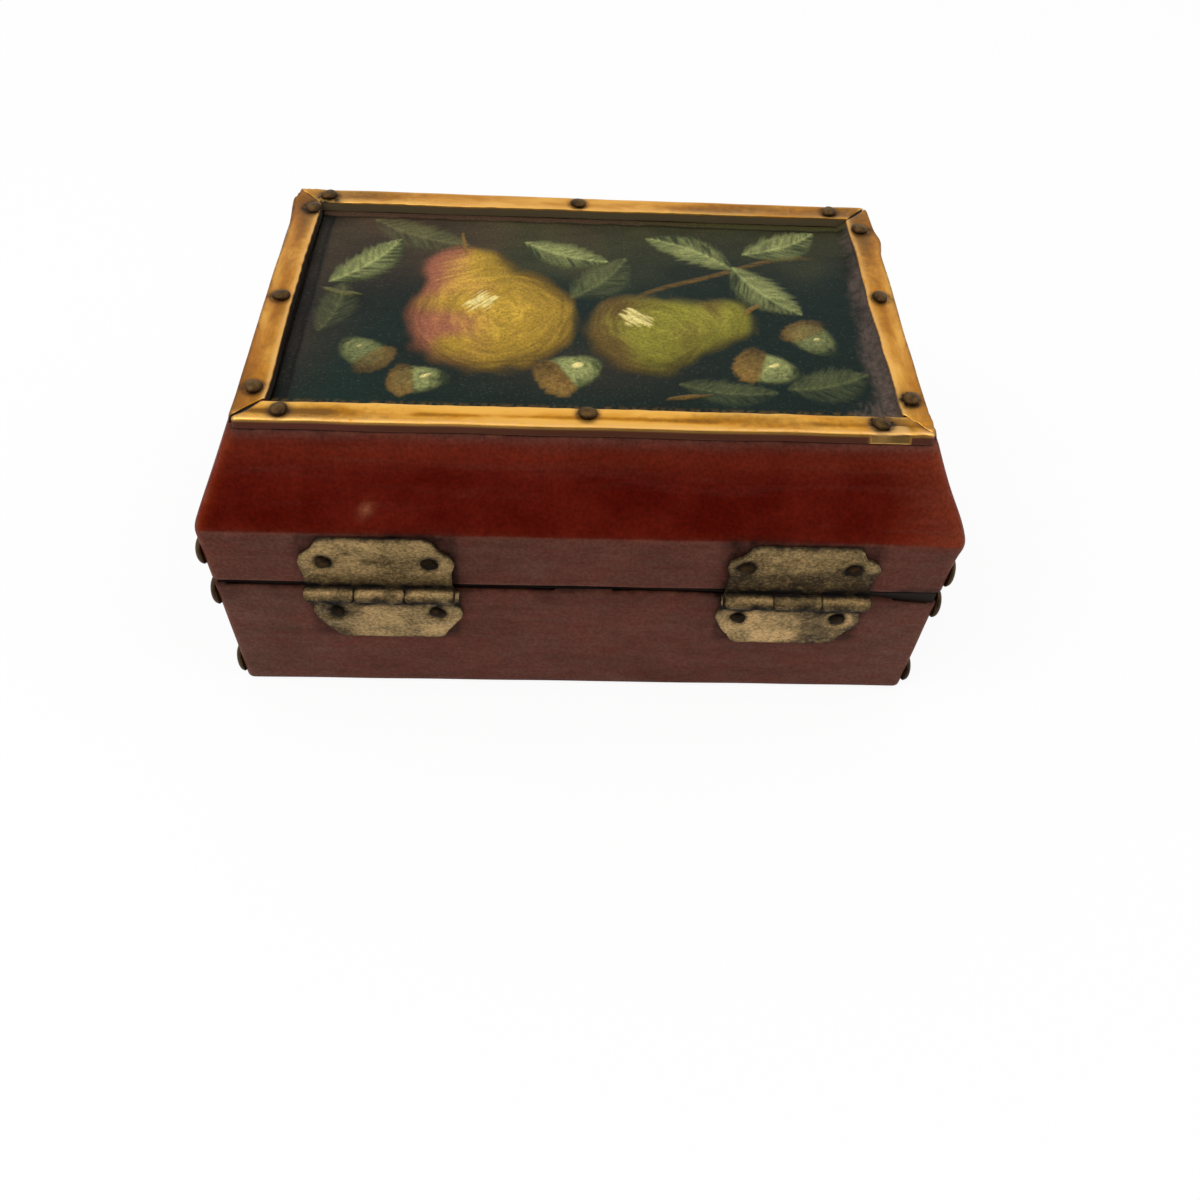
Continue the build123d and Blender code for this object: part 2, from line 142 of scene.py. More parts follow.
def uneven(points, amplitude, lengths, seed):
    """Smooth handmade unevenness: the mean of one sine for each wavelength.

    Each sine runs in its own direction, which a seeded generator picks.
    """
    rng = np.random.default_rng(seed)
    total = np.zeros(points.shape[:-1])
    for length in lengths:
        direction = rng.normal(size=3)
        direction /= np.linalg.norm(direction)
        total += np.sin(2 * np.pi * (points @ direction) / length + rng.uniform(0, 2 * np.pi))
    return amplitude * total / len(lengths)


def mottle(first, second, size, seed, period=64):
    """Value noise from 0 to 1: random numbers on a lattice, joined by smooth steps.

    Along the first direction the pattern comes back after the period, in cells.
    """
    rng = np.random.default_rng(seed)
    table = rng.random((64, 64))
    x, y = first / size + 64.0 * 4, second / size + 64.0 * 4
    i, j = np.floor(x).astype(int), np.floor(y).astype(int)
    u, v = x - i, y - j
    u, v = u * u * (3 - 2 * u), v * v * (3 - 2 * v)
    here, beside, above = i % period, (i + 1) % period, (j + 1) % 64
    low = table[here, j % 64] * (1 - u) + table[beside, j % 64] * u
    high = table[here, above] * (1 - u) + table[beside, above] * u
    return low * (1 - v) + high * v


def bump(distance, width):
    """Bell curve: 1 at no distance, and near 0 past twice the width."""
    return np.exp(-((distance / width) ** 2))


def step(value, low, high):
    """Smooth step from 0 at low to 1 at high."""
    share = np.clip((value - low) / (high - low), 0, 1)
    return share * share * (3 - 2 * share)


def rounded(corners, radii, count):
    """Open outline with rounded corners, as evenly spaced points.

    Each inner corner becomes the quadratic curve that starts and ends its radius away from it.
    """
    corners = np.array(corners, float)
    line = [corners[:1]]
    share = np.linspace(0, 1, 9)[:, None]
    for before, corner, after, radius in zip(corners, corners[1:], corners[2:], radii):
        start = corner + radius * (before - corner) / np.linalg.norm(before - corner)
        end = corner + radius * (after - corner) / np.linalg.norm(after - corner)
        line.append((1 - share) ** 2 * start + 2 * share * (1 - share) * corner + share**2 * end)
    line = np.concatenate(line + [corners[-1:]])
    run = np.concatenate([[0], np.cumsum(np.linalg.norm(np.diff(line, axis=0), axis=1))])
    even = np.linspace(0, run[-1], count)
    return np.stack([np.interp(even, run, line[:, k]) for k in range(line.shape[1])], axis=1)


def grid_faces(rows, columns, close_rows=False, close_columns=False):
    """Quads of a grid of points. A closed direction joins its last line to its first."""
    i, j = np.meshgrid(
        np.arange(rows if close_rows else rows - 1),
        np.arange(columns if close_columns else columns - 1),
        indexing="ij",
    )
    below, beside = (i + 1) % rows, (j + 1) % columns
    quads = [i * columns + j, below * columns + j, below * columns + beside, i * columns + beside]
    return np.stack(quads, axis=-1).reshape(-1, 4)


def joined(shapes):
    """Several sets of points and faces as one."""
    offset, points, faces = 0, [], []
    for some_points, some_faces in shapes:
        points.append(some_points.reshape(-1, 3))
        faces += [[index + offset for index in face] for face in some_faces]
        offset += len(points[-1])
    return np.concatenate(points), faces


# How an attribute is kept, by how many numbers each point has
ATTRIBUTE_KINDS = {1: ("FLOAT", "value"), 3: ("FLOAT_VECTOR", "vector"), 4: ("FLOAT_COLOR", "color")}


def wear_edges(made, width, angle):
    """Rounds every edge sharper than an angle in degrees, by a width in millimetres."""
    edge = made.modifiers.new("worn edge", "BEVEL")
    edge.width = width / 1000
    edge.segments = 3
    edge.limit_method = "ANGLE"
    edge.angle_limit = np.radians(angle)
    edge.harden_normals = True


def piece(name, body, material, points, faces, replaces, values=None, bevel=0.0):
    """Makes a mesh from points and faces, and ties it to its body, finish and CAD nodes.

    Values hold one number, or one vector or colour, for each point. Doubles are merged and the
    faces turned outwards.
    """
    mesh = bpy.data.meshes.new(name)
    faces = faces.tolist() if isinstance(faces, np.ndarray) else faces
    mesh.from_pydata((points.reshape(-1, 3) / 1000).tolist(), [], faces)
    for key, value in (values or {}).items():
        width = 1 if value.ndim == 1 else value.shape[1]
        kind, field = ATTRIBUTE_KINDS[width]
        layer = mesh.attributes.new(key, kind, "POINT")
        layer.data.foreach_set(field, np.ascontiguousarray(value, dtype=np.float32).ravel())
    shell = bmesh.new()
    shell.from_mesh(mesh)
    bmesh.ops.remove_doubles(shell, verts=shell.verts, dist=1e-6)
    bmesh.ops.recalc_face_normals(shell, faces=shell.faces)
    shell.to_mesh(mesh)
    shell.free()
    mesh.shade_smooth()
    mesh.materials.append(material)
    made = bpy.data.objects.new(name, mesh)
    bpy.context.collection.objects.link(made)
    if bevel:
        wear_edges(made, bevel, 40)
    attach(made, body)
    if replaces:
        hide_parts(*replaces)


def ring(profile, radii, half_x, half_y, corner_steps=7, side_step=2.0):
    """Carries a profile of (inset, height) points round a rounded rectangle.

    A sample of the outline has a direction (cos, sin) and a pair of signs that run from one
    corner's to the next one's. A point lies at signs * (half - inset - radius) + radius *
    direction, so each line of the profile has its own corner radius. Returns the points and the
    direction of each sample.
    """
    signs = np.array([(1, 1), (-1, 1), (-1, -1), (1, -1)], float)
    turns, places = [], []
    for k in range(4):
        arc = np.linspace(k, k + 1, corner_steps)
        length = 2 * (half_x if signs[k][1] == signs[(k + 1) % 4][1] else half_y)
        share = np.linspace(0, 1, max(3, int(length / side_step)))[1:-1]
        turns += [arc, np.full(len(share), k + 1.0)]
        places.append(np.repeat(signs[k : k + 1], corner_steps, axis=0))
        places.append(signs[k] + (signs[(k + 1) % 4] - signs[k]) * share[:, None])
    turn = np.concatenate(turns)[:, None] * np.pi / 2
    place = np.concatenate(places)
    inset, height = np.asarray(profile, float).T
    x = place[:, :1] * (half_x - inset - radii) + radii * np.cos(turn)
    y = place[:, 1:] * (half_y - inset - radii) + radii * np.sin(turn)
    z = np.broadcast_to(height, x.shape)
    return np.stack([x, y, z], axis=-1), np.concatenate([np.cos(turn), np.sin(turn)], axis=1)


def pad(low, high, radius, crown, edge):
    """A closed slab with rounded edges and a crowned top, between two corners.

    The profile runs from the middle of the top to the rim, round it and back under to the middle,
    and is carried round the slab's outline.
    """
    half_x, half_y = (high[0] - low[0]) / 2, (high[1] - low[1]) / 2
    inner = min(half_x, half_y) - 0.001
    share = np.linspace(0, 1, 12)
    top = np.stack([inner * (1 - share), high[2] - crown * share**3], axis=1)
    thick = high[2] - crown - low[2]
    turn = np.linspace(0, np.pi, 9)[1:-1]
    rim = np.stack([edge * (1 - np.sin(turn)), low[2] + thick / 2 * (1 + np.cos(turn))], axis=1)
    top[:, 0] = np.maximum(top[:, 0], edge)
    under = np.array([[edge, low[2]], [inner, low[2]]])
    profile = np.concatenate([top, rim, under])
    radii = np.clip(radius - profile[:, 0], 0.0005, None)
    points, _ = ring(profile, radii, half_x, half_y, 5, 4.0)
    points = points + np.array([(low[0] + high[0]) / 2, (low[1] + high[1]) / 2, 0])
    return points, grid_faces(points.shape[0], points.shape[1], True)


def slab(points, axis, level):
    """Closes a grid of points into a solid, with a flat back at one level of one axis."""
    rows, columns = points.shape[:2]
    index = np.arange(rows * columns).reshape(rows, columns)
    edge = np.concatenate([index[0, :-1], index[:-1, -1], index[-1, :0:-1], index[:0:-1, 0]])
    flat = points.reshape(-1, 3)
    back = flat[edge].copy()
    back[:, axis] = level
    count = len(edge)
    rim = np.arange(count) + rows * columns
    side = np.stack([edge, np.roll(edge, -1), np.roll(rim, -1), rim], axis=1)
    faces = grid_faces(rows, columns).tolist() + side.tolist() + [rim.tolist()]
    return np.concatenate([flat, back]), faces, edge


def lathe(profile, spots, seed, ripple=0.04, tilt=0.03):
    """Turned nails: a profile of (radius, height) points spun about each spot's axis.

    Spots are (place, axis) pairs. Each head gets its own small out-of-round, the sum of a two-lobed
    and a three-lobed sine, and its own small tilt.
    """
    rng = np.random.default_rng(seed)
    radius, height = np.array(profile, float).T
    turn = np.linspace(0, 2 * np.pi, NAIL_STEPS, endpoint=False)[:, None]
    shapes = []
    for place, axis in spots:
        phase = rng.uniform(0, 2 * np.pi, 3)
        lobes = 1 + ripple * (np.sin(2 * turn + phase[0]) + 0.6 * np.sin(3 * turn + phase[1]))
        side = np.cross(axis, (0, 0, 1) if abs(axis[2]) < 0.5 else (0, 1, 0))
        up = np.cross(axis, side)
        across = radius * lobes
        lift = height + np.where(height > 0, tilt, 0) * across * np.cos(turn - phase[2])
        points = (
            np.asarray(place, float)
            + (across * np.cos(turn))[..., None] * side
            + (across * np.sin(turn))[..., None] * up
            + lift[..., None] * np.asarray(axis, float)
        )
        shapes.append((points, grid_faces(NAIL_STEPS, len(radius), True).tolist()))
    return joined(shapes)


def nail_profile(head, rise, shank, length):
    """Profile of a nail: flattened dome, rolled rim, shank and point."""
    share = np.linspace(0, 1, 10)
    dome = np.stack([head * np.sin(share * np.pi / 2), rise * np.cos(share * np.pi / 2) ** 0.8], axis=1)
    dome[-1] = (head, 0.12 * rise)
    tail = [(head * 0.93, 0.0), (shank, 0.0), (shank, 1.2 - length), (0.0, -length)]
    return np.concatenate([dome, tail])


# Materials


def add_node(tree, kind, settings=None, inputs=None, output=0):
    """Adds one shader node, sets it up, links or fills its inputs, and returns one output.

    The kind is the node's type without the ShaderNode in front.
    """
    node = tree.nodes.new("ShaderNode" + kind)
    for key, value in (settings or {}).items():
        setattr(node, key, value)
    for key, value in (inputs or {}).items():
        if isinstance(value, bpy.types.NodeSocket):
            tree.links.new(value, node.inputs[key])
        else:
            node.inputs[key].default_value = value
    return node.outputs[output] if len(node.outputs) else node


def new_material(name):
    """An empty node material, and its tree."""
    material = bpy.data.materials.new(name)
    material.use_nodes = True
    material.node_tree.nodes.clear()
    return material, material.node_tree


# Settings of the nodes that mix colours and do sums; a kept sum stays between 0 and 1
COLOUR = {"data_type": "RGBA"}
SHADED = {"data_type": "RGBA", "blend_type": "MULTIPLY"}
TIMES = {"operation": "MULTIPLY"}
TIMES_KEPT = {"operation": "MULTIPLY", "use_clamp": True}
TIMES_PLUS = {"operation": "MULTIPLY_ADD"}
TIMES_PLUS_KEPT = {"operation": "MULTIPLY_ADD", "use_clamp": True}
LARGER = {"operation": "MAXIMUM"}


def leather_material(leather):
    """Dyed goatskin: vegetable tanned, dyed red-brown, waxed and much handled.

    Pores under a millimetre wide break the gloss, the wax has dulled in patches, and the dye is
    rubbed pale along the folds. The upright faces carry a painted milky reflection of the pale
    floor. The dark round the hinges, along the parting line and beside the brass is dirt with
    painted shade, and the top of the rear right hip has a painted highlight.
    """
    material, tree = new_material("dyed_goatskin")
    place = add_node(tree, "TexCoord", output="Object")
    wear_and_glint, dull_and_sheen, warm, dirt_and_shade = (
        add_node(tree, "Attribute", {"attribute_name": key}, output="Fac")
        for key in ("wear_and_glint", "dull_and_sheen", "warm", "dirt_and_shade")
    )
    # Dye took unevenly, in blotches about 14 mm wide
    blotch = add_node(
        tree, "TexNoise", None,
        {"Vector": place, "Scale": per_mm(14), "Detail": 5.0, "Roughness": 0.62},
    )
    share = add_node(tree, "MapRange", None, {"Value": blotch, "From Min": 0.38, "From Max": 0.66})
    dye = add_node(tree, "Mix", COLOUR, {0: share, 6: leather.deep[:], 7: leather.light[:]}, 2)
    # Thin dye over the folds shows the leather's own warmth
    dye = add_node(tree, "Mix", COLOUR, {0: warm, 6: dye, 7: leather.warm[:]}, 2)
    # Level rubbing marks: long along the sides, a millimetre or two high
    level = add_node(tree, "Mapping", None, {"Vector": place, "Scale": (1.0, 1.0, 14.0)})
    rub = add_node(
        tree, "TexNoise", None,
        {"Vector": level, "Scale": per_mm(26), "Detail": 4.0, "Roughness": 0.6},
    )
    stroked = add_node(tree, "Mapping", None, {"Vector": place, "Scale": (1.0, 1.0, 3.0)})
    streak = add_node(
        tree, "TexNoise", None,
        {"Vector": stroked, "Scale": per_mm(6), "Detail": 5.0, "Roughness": 0.65},
    )
    rubbed = add_node(
        tree, "MapRange", None,
        {"Value": rub, "From Min": 0.5, "From Max": 0.75, "To Min": 0.06, "To Max": 0.2},
    )
    streaked = add_node(
        tree, "MapRange", None,
        {"Value": streak, "From Min": 0.3, "From Max": 0.7, "To Min": 0.36, "To Max": 0.62},
    )
    # Painted reflection: the upright faces take a milky sheen of the pale floor, with dulled wax
    dull_and_sheen_share = add_node(tree, "Math", TIMES_PLUS_KEPT, {0: dull_and_sheen, 1: streaked, 2: rubbed})
    damp = add_node(
        tree, "TexNoise", None,
        {"Vector": stroked, "Scale": per_mm(19), "Detail": 6.0, "Roughness": 0.6},
    )
    stained = add_node(
        tree, "MapRange", None, {"Value": damp, "From Min": 0.46, "From Max": 0.72, "To Max": 0.75}
    )
    wax_and_sheen = add_node(tree, "Mix", COLOUR, {0: stained, 6: leather.dull_and_sheen[:], 7: leather.stain[:]}, 2)
    haze = add_node(tree, "Mix", COLOUR, {0: dull_and_sheen_share, 6: dye, 7: wax_and_sheen}, 2)
    # The fine dark speckle of the pores, about 0.9 mm apart
    pore = add_node(tree, "TexVoronoi", None, {"Vector": place, "Scale": per_mm(0.9), "Randomness": 1.0})
    fine = add_node(tree, "TexNoise", None, {"Vector": place, "Scale": per_mm(0.7), "Detail": 3.0})
    speckle = add_node(
        tree, "MapRange", None,
        {"Value": fine, "From Min": 0.28, "From Max": 0.72, "To Min": 0.72, "To Max": 1.26},
    )
    grained = add_node(tree, "Mix", SHADED, {0: 0.9, 6: haze, 7: speckle}, 2)
    # Folds and rims are rubbed through to the tan, in broken lengths; the same mask holds
    # the painted highlight on the rear right hip
    broken = add_node(
        tree, "TexNoise", None,
        {"Vector": place, "Scale": per_mm(5), "Detail": 6.0, "Roughness": 0.7},
    )
    gate = add_node(tree, "MapRange", None, {"Value": broken, "From Min": 0.44, "From Max": 0.72})
    bare = add_node(tree, "Math", TIMES, {0: gate, 1: wear_and_glint})
    worn = add_node(tree, "Mix", COLOUR, {0: bare, 6: grained, 7: leather.worn[:]}, 2)
    # A few nicks, under a millimetre, down to the pale flesh side
    nick = add_node(
        tree, "TexNoise", None,
        {"Vector": place, "Scale": per_mm(3.1), "Detail": 2.0, "Roughness": 0.8},
    )
    chip = add_node(tree, "MapRange", None, {"Value": nick, "From Min": 0.80, "From Max": 0.83})
    nicked = add_node(tree, "Mix", COLOUR, {0: chip, 6: worn, 7: leather.nick[:]}, 2)
    # Old polish and dirt have gone black round the hinges and under the brass; the same mask
    # holds painted shade there, along the parting line and in the crease beside the brass
    clotted = add_node(
        tree, "MapRange", None,
        {"Value": broken, "From Min": 0.3, "From Max": 0.6, "To Min": 1.3, "To Max": 0.5},
    )
    dirty = add_node(tree, "Math", TIMES_KEPT, {0: dirt_and_shade, 1: clotted})
    nicked = add_node(tree, "Mix", COLOUR, {0: dirty, 6: nicked, 7: leather.dirt_and_shade[:]}, 2)
    gloss = add_node(
        tree, "MapRange", None,
        {"Value": blotch, "From Min": 0.3, "From Max": 0.7, "To Min": 0.3, "To Max": 0.46},
    )
    rough = add_node(tree, "Math", TIMES_PLUS, {0: dull_and_sheen, 1: 0.1, 2: gloss})
    relief = add_node(tree, "Math", TIMES_PLUS, {0: pore, 1: 0.6, 2: fine})
    grain = add_node(tree, "Bump", None, {"Height": relief, "Distance": leather.grain_depth, "Strength": 0.6})
    skin = add_node(
        tree, "BsdfPrincipled", None,
        {"Base Color": nicked, "Roughness": rough, "Normal": grain, "IOR": 1.11},
    )
    add_node(tree, "OutputMaterial", None, {"Surface": skin})
    return material


def strip_brass_material(brass):
    """Cartridge brass shim, 0.4 mm thick, cut and folded by hand.

    Handling keeps the folds bright, and painted highlights lie along them. The flat between them has
    gone amber in patches, darker along its hollow middle with painted shade, and the outer flange is
    brown: oxide, with painted shade and a painted reflection of the red leather.
    """
    material, tree = new_material("tarnished_shim_brass")
    run = add_node(tree, "Attribute", {"attribute_name": "run"}, output="Vector")
    rub_and_highlight, flange, worn, grime_and_shade, edge, ruddy, dust = (
        add_node(tree, "Attribute", {"attribute_name": key}, output="Fac")
        for key in ("rub_and_highlight", "flange", "worn", "grime_and_shade", "edge", "ruddy", "dust")
    )
    long_way = add_node(tree, "Mapping", None, {"Vector": run, "Scale": (0.28, 1.0, 1.0)})
    # Tarnish patches, about 4 mm across and longer along the strip, and heavier along its middle
    # line, where the extra amber is painted shade of the hollow face
    patch = add_node(
        tree, "TexNoise", None,
        {"Vector": long_way, "Scale": per_mm(4), "Detail": 5.0, "Roughness": 0.6, "Distortion": 0.3},
    )
    leaning = add_node(tree, "Math", TIMES_PLUS, {0: edge, 1: -0.2, 2: patch})
    tarnish_and_shade = add_node(tree, "MapRange", None, {"Value": leaning, "From Min": 0.25, "From Max": 0.62})
    tone = add_node(tree, "Mix", COLOUR, {0: tarnish_and_shade, 6: brass.gold[:], 7: brass.tarnish_and_shade[:]}, 2)
    # Where the zinc has gone out of the surface it is copper red, in the same patches
    bitten = add_node(
        tree, "MapRange", None,
        {"Value": patch, "From Min": 0.3, "From Max": 0.6, "To Min": 0.25, "To Max": 1.0},
    )
    redder = add_node(tree, "Math", TIMES, {0: ruddy, 1: bitten})
    tone = add_node(tree, "Mix", COLOUR, {0: redder, 6: tone, 7: brass.copper[:]}, 2)
    # Brown spots, about 1.5 mm
    spot = add_node(
        tree, "TexNoise", None,
        {"Vector": run, "Scale": per_mm(1.6), "Detail": 4.0, "Roughness": 0.65},
    )
    stain = add_node(
        tree, "TexNoise", None,
        {"Vector": long_way, "Scale": per_mm(9), "Detail": 2.0, "Roughness": 0.5},
    )
    browned = add_node(tree, "Math", TIMES_PLUS, {0: spot, 1: 0.45, 2: stain})
    browned = add_node(tree, "Math", TIMES_PLUS, {0: edge, 1: -0.14, 2: browned})
    brown = add_node(
        tree, "MapRange", None, {"Value": browned, "From Min": 0.62, "From Max": 0.95, "To Max": 0.85}
    )
    spotted = add_node(tree, "Mix", COLOUR, {0: brown, 6: tone, 7: brass.brown[:]}, 2)
    # Painted highlights along the folds, with rubbing, broken by the spots
    broken = add_node(tree, "MapRange", None, {"Value": spot, "From Min": 0.32, "From Max": 0.52})
    rubbed = add_node(tree, "Math", TIMES, {0: rub_and_highlight, 1: broken})
    polished_and_highlit = add_node(tree, "Mix", COLOUR, {0: rubbed, 6: spotted, 7: brass.pale[:]}, 2)
    # The outer flange: oxide, with painted shade and a painted reflection of the red leather
    crust = add_node(tree, "MapRange", None, {"Value": browned, "From Min": 0.5, "From Max": 0.8})
    flange_oxide_and_shade = add_node(tree, "Mix", COLOUR, {0: crust, 6: brass.flange[:], 7: brass.mauve[:]}, 2)
    brown_fold = add_node(tree, "Mix", COLOUR, {0: flange, 6: polished_and_highlit, 7: flange_oxide_and_shade}, 2)
    scraped = add_node(tree, "Mix", COLOUR, {0: worn, 6: brown_fold, 7: brass.pale[:]}, 2)
    # Dirt round the nails, and the painted dark reflection on the end strips' outer fold
    smear = add_node(
        tree, "MapRange", None,
        {"Value": spot, "From Min": 0.3, "From Max": 0.6, "To Min": 1.3, "To Max": 0.6},
    )
    dirty = add_node(tree, "Math", TIMES_KEPT, {0: grime_and_shade, 1: smear})
    dark = add_node(tree, "Mix", COLOUR, {0: dirty, 6: scraped, 7: brass.grime_and_shade[:]}, 2)
    # Each inner wall has its own colour: painted shade at the rear and right, a painted reflection of the
    # painting at the front, and dust at the left
    wall = add_node(tree, "Attribute", {"attribute_name": "wall"}, output="Color")
    dark = add_node(tree, "Mix", COLOUR, {0: dust, 6: dark, 7: wall}, 2)
    clotted = add_node(tree, "Math", TIMES, {0: dirty, 1: 0.45})
    covered = add_node(tree, "Math", LARGER, {0: clotted, 1: dust})
    oxide_and_shade_share = add_node(tree, "Math", TIMES, {0: flange, 1: 0.6})
    covered = add_node(tree, "Math", LARGER, {0: covered, 1: oxide_and_shade_share})
    metal_share = add_node(tree, "MapRange", None, {"Value": covered, "To Min": 1.0, "To Max": 0.1})
    # Drawing lines from the rolling mill, drawn 0.3 mm apart so that they show
    lines = add_node(tree, "Mapping", None, {"Vector": run, "Scale": (0.02, 1.0, 1.0)})
    drawn = add_node(tree, "TexNoise", None, {"Vector": lines, "Scale": per_mm(0.3), "Detail": 2.0})
    rough = add_node(
        tree, "MapRange", None,
        {"Value": patch, "From Min": 0.3, "From Max": 0.7, "To Min": 0.3, "To Max": 0.48},
    )
    rougher = add_node(tree, "Math", TIMES_PLUS, {0: flange, 1: 0.15, 2: rough})
    rougher = add_node(tree, "Math", TIMES_PLUS, {0: dirty, 1: 0.4, 2: rougher})
    relief = add_node(tree, "Math", TIMES_PLUS, {0: spot, 1: 2.0, 2: drawn})
    surface = add_node(tree, "Bump", None, {"Height": relief, "Distance": 0.00002, "Strength": 0.35})
    metal = add_node(
        tree, "BsdfPrincipled", None,
        {"Base Color": dark, "Metallic": metal_share, "Roughness": rougher, "Normal": surface},
    )
    add_node(tree, "OutputMaterial", None, {"Surface": metal})
    return material


def old_brass_material(hinge):
    """Pressed brass hinges, lacquered once and now under an olive bloom of verdigris and grime.

    Raised places are rubbed to dull gold in level streaks, and the knuckles' crest has a painted
    highlight. The dirt in the corners and round the nails is nearly black and no longer metal, and
    the same dark also paints shade along the barrel, beside it and round the nail heads.
    """
    material, tree = new_material("grimy_pressed_brass")
    place = add_node(tree, "TexCoord", output="Object")
    grime_and_shade, bare, lit = (
        add_node(tree, "Attribute", {"attribute_name": key}, output="Fac")
        for key in ("grime_and_shade", "rubbed", "lit")
    )
    level = add_node(tree, "Mapping", None, {"Vector": place, "Scale": (0.75, 1.0, 1.0)})
    # Bloom in blotches about 3 mm high, drawn out sideways, with a crust of 0.5 mm grains over it
    bloom = add_node(
        tree, "TexNoise", None,
        {"Vector": level, "Scale": per_mm(2.8), "Detail": 6.0, "Roughness": 0.66, "Distortion": 0.3},
    )
    crust = add_node(
        tree, "TexNoise", None,
        {"Vector": level, "Scale": per_mm(0.5), "Detail": 4.0, "Roughness": 0.75},
    )
    # Each leaf has its own lighter and darker places, painted as light falling on it
    lit_bloom = add_node(tree, "Math", TIMES_PLUS, {0: lit, 1: 0.36, 2: bloom})
    share = add_node(tree, "MapRange", None, {"Value": lit_bloom, "From Min": 0.48, "From Max": 0.86})
    tone = add_node(tree, "Mix", COLOUR, {0: share, 6: hinge.olive[:], 7: hinge.khaki[:]}, 2)
    speck = add_node(tree, "Math", TIMES_PLUS, {0: lit, 1: 0.08, 2: crust})
    fleck = add_node(
        tree, "MapRange", None, {"Value": speck, "From Min": 0.52, "From Max": 0.7, "To Max": 0.5}
    )
    gold = add_node(tree, "Math", TIMES_PLUS_KEPT, {0: bare, 1: 0.75, 2: fleck})
    flecked = add_node(tree, "Mix", COLOUR, {0: gold, 6: tone, 7: hinge.rubbed[:]}, 2)
    soot = add_node(
        tree, "MapRange", None, {"Value": crust, "From Min": 0.47, "From Max": 0.33, "To Max": 0.5}
    )
    sooty = add_node(tree, "Mix", COLOUR, {0: soot, 6: flecked, 7: hinge.dirt_and_shade[:]}, 2)
    patchy = add_node(
        tree, "MapRange", None,
        {"Value": bloom, "From Min": 0.3, "From Max": 0.62, "To Min": 1.5, "To Max": 0.6},
    )
    dirty = add_node(tree, "Math", TIMES_KEPT, {0: grime_and_shade, 1: patchy})
    covered = add_node(tree, "Mix", COLOUR, {0: dirty, 6: sooty, 7: hinge.dirt_and_shade[:]}, 2)
    metal_share = add_node(tree, "MapRange", None, {"Value": dirty, "To Min": 0.85, "To Max": 0.6})
    rough = add_node(
        tree, "MapRange", None,
        {"Value": bloom, "From Min": 0.3, "From Max": 0.7, "To Min": 0.62, "To Max": 0.42},
    )
    # Dirt is matt
    rougher = add_node(tree, "Math", TIMES_PLUS, {0: dirty, 1: 0.35, 2: rough})
    relief = add_node(tree, "Math", TIMES_PLUS, {0: bloom, 1: 1.5, 2: crust})
    surface = add_node(tree, "Bump", None, {"Height": relief, "Distance": 0.0002, "Strength": 0.7})
    metal = add_node(
        tree, "BsdfPrincipled", None,
        {"Base Color": covered, "Metallic": metal_share, "Roughness": rougher, "Normal": surface},
    )
    add_node(tree, "OutputMaterial", None, {"Surface": metal})
    return material


def nail_material(nails):
    """Brass-plated iron tacks: cold-headed, browned by age, rubbed a little on the crown."""
    material, tree = new_material("browned_tack_iron")
    place = add_node(tree, "TexCoord", output="Object")
    crown = add_node(tree, "Attribute", {"attribute_name": "crown"}, output="Fac")
    rust = add_node(
        tree, "TexNoise", None,
        {"Vector": place, "Scale": per_mm(2.2), "Detail": 4.0, "Roughness": 0.6},
    )
    share = add_node(tree, "MapRange", None, {"Value": rust, "From Min": 0.3, "From Max": 0.7})
    tone = add_node(tree, "Mix", COLOUR, {0: share, 6: nails.dark[:], 7: nails.brown[:]}, 2)
    gate = add_node(
        tree, "MapRange", None,
        {"Value": rust, "From Min": 0.35, "From Max": 0.75, "To Max": 0.8},
    )
    rubbed = add_node(tree, "Math", TIMES, {0: crown, 1: gate})
    shone = add_node(tree, "Mix", COLOUR, {0: rubbed, 6: tone, 7: nails.rubbed[:]}, 2)
    grime_and_shade = add_node(tree, "Attribute", {"attribute_name": "grime_and_shade"}, output="Fac")
    clotted = add_node(
        tree, "MapRange", None,
        {"Value": rust, "From Min": 0.35, "From Max": 0.65, "To Min": 1.25, "To Max": 0.75},
    )
    dirty = add_node(tree, "Math", TIMES_KEPT, {0: grime_and_shade, 1: clotted})
    shone = add_node(tree, "Mix", COLOUR, {0: dirty, 6: shone, 7: nails.grime_and_shade[:]}, 2)
    rough = add_node(tree, "MapRange", None, {"Value": rust, "To Min": 0.4, "To Max": 0.62})
    rough = add_node(tree, "Math", TIMES_PLUS, {0: dirty, 1: 0.35, 2: rough})
    surface = add_node(tree, "Bump", None, {"Height": rust, "Distance": 0.00006, "Strength": 0.5})
    metal = add_node(
        tree, "BsdfPrincipled", None,
        {"Base Color": shone, "Metallic": 0.9, "Roughness": rough, "Normal": surface},
    )
    add_node(tree, "OutputMaterial", None, {"Surface": metal})
    return material


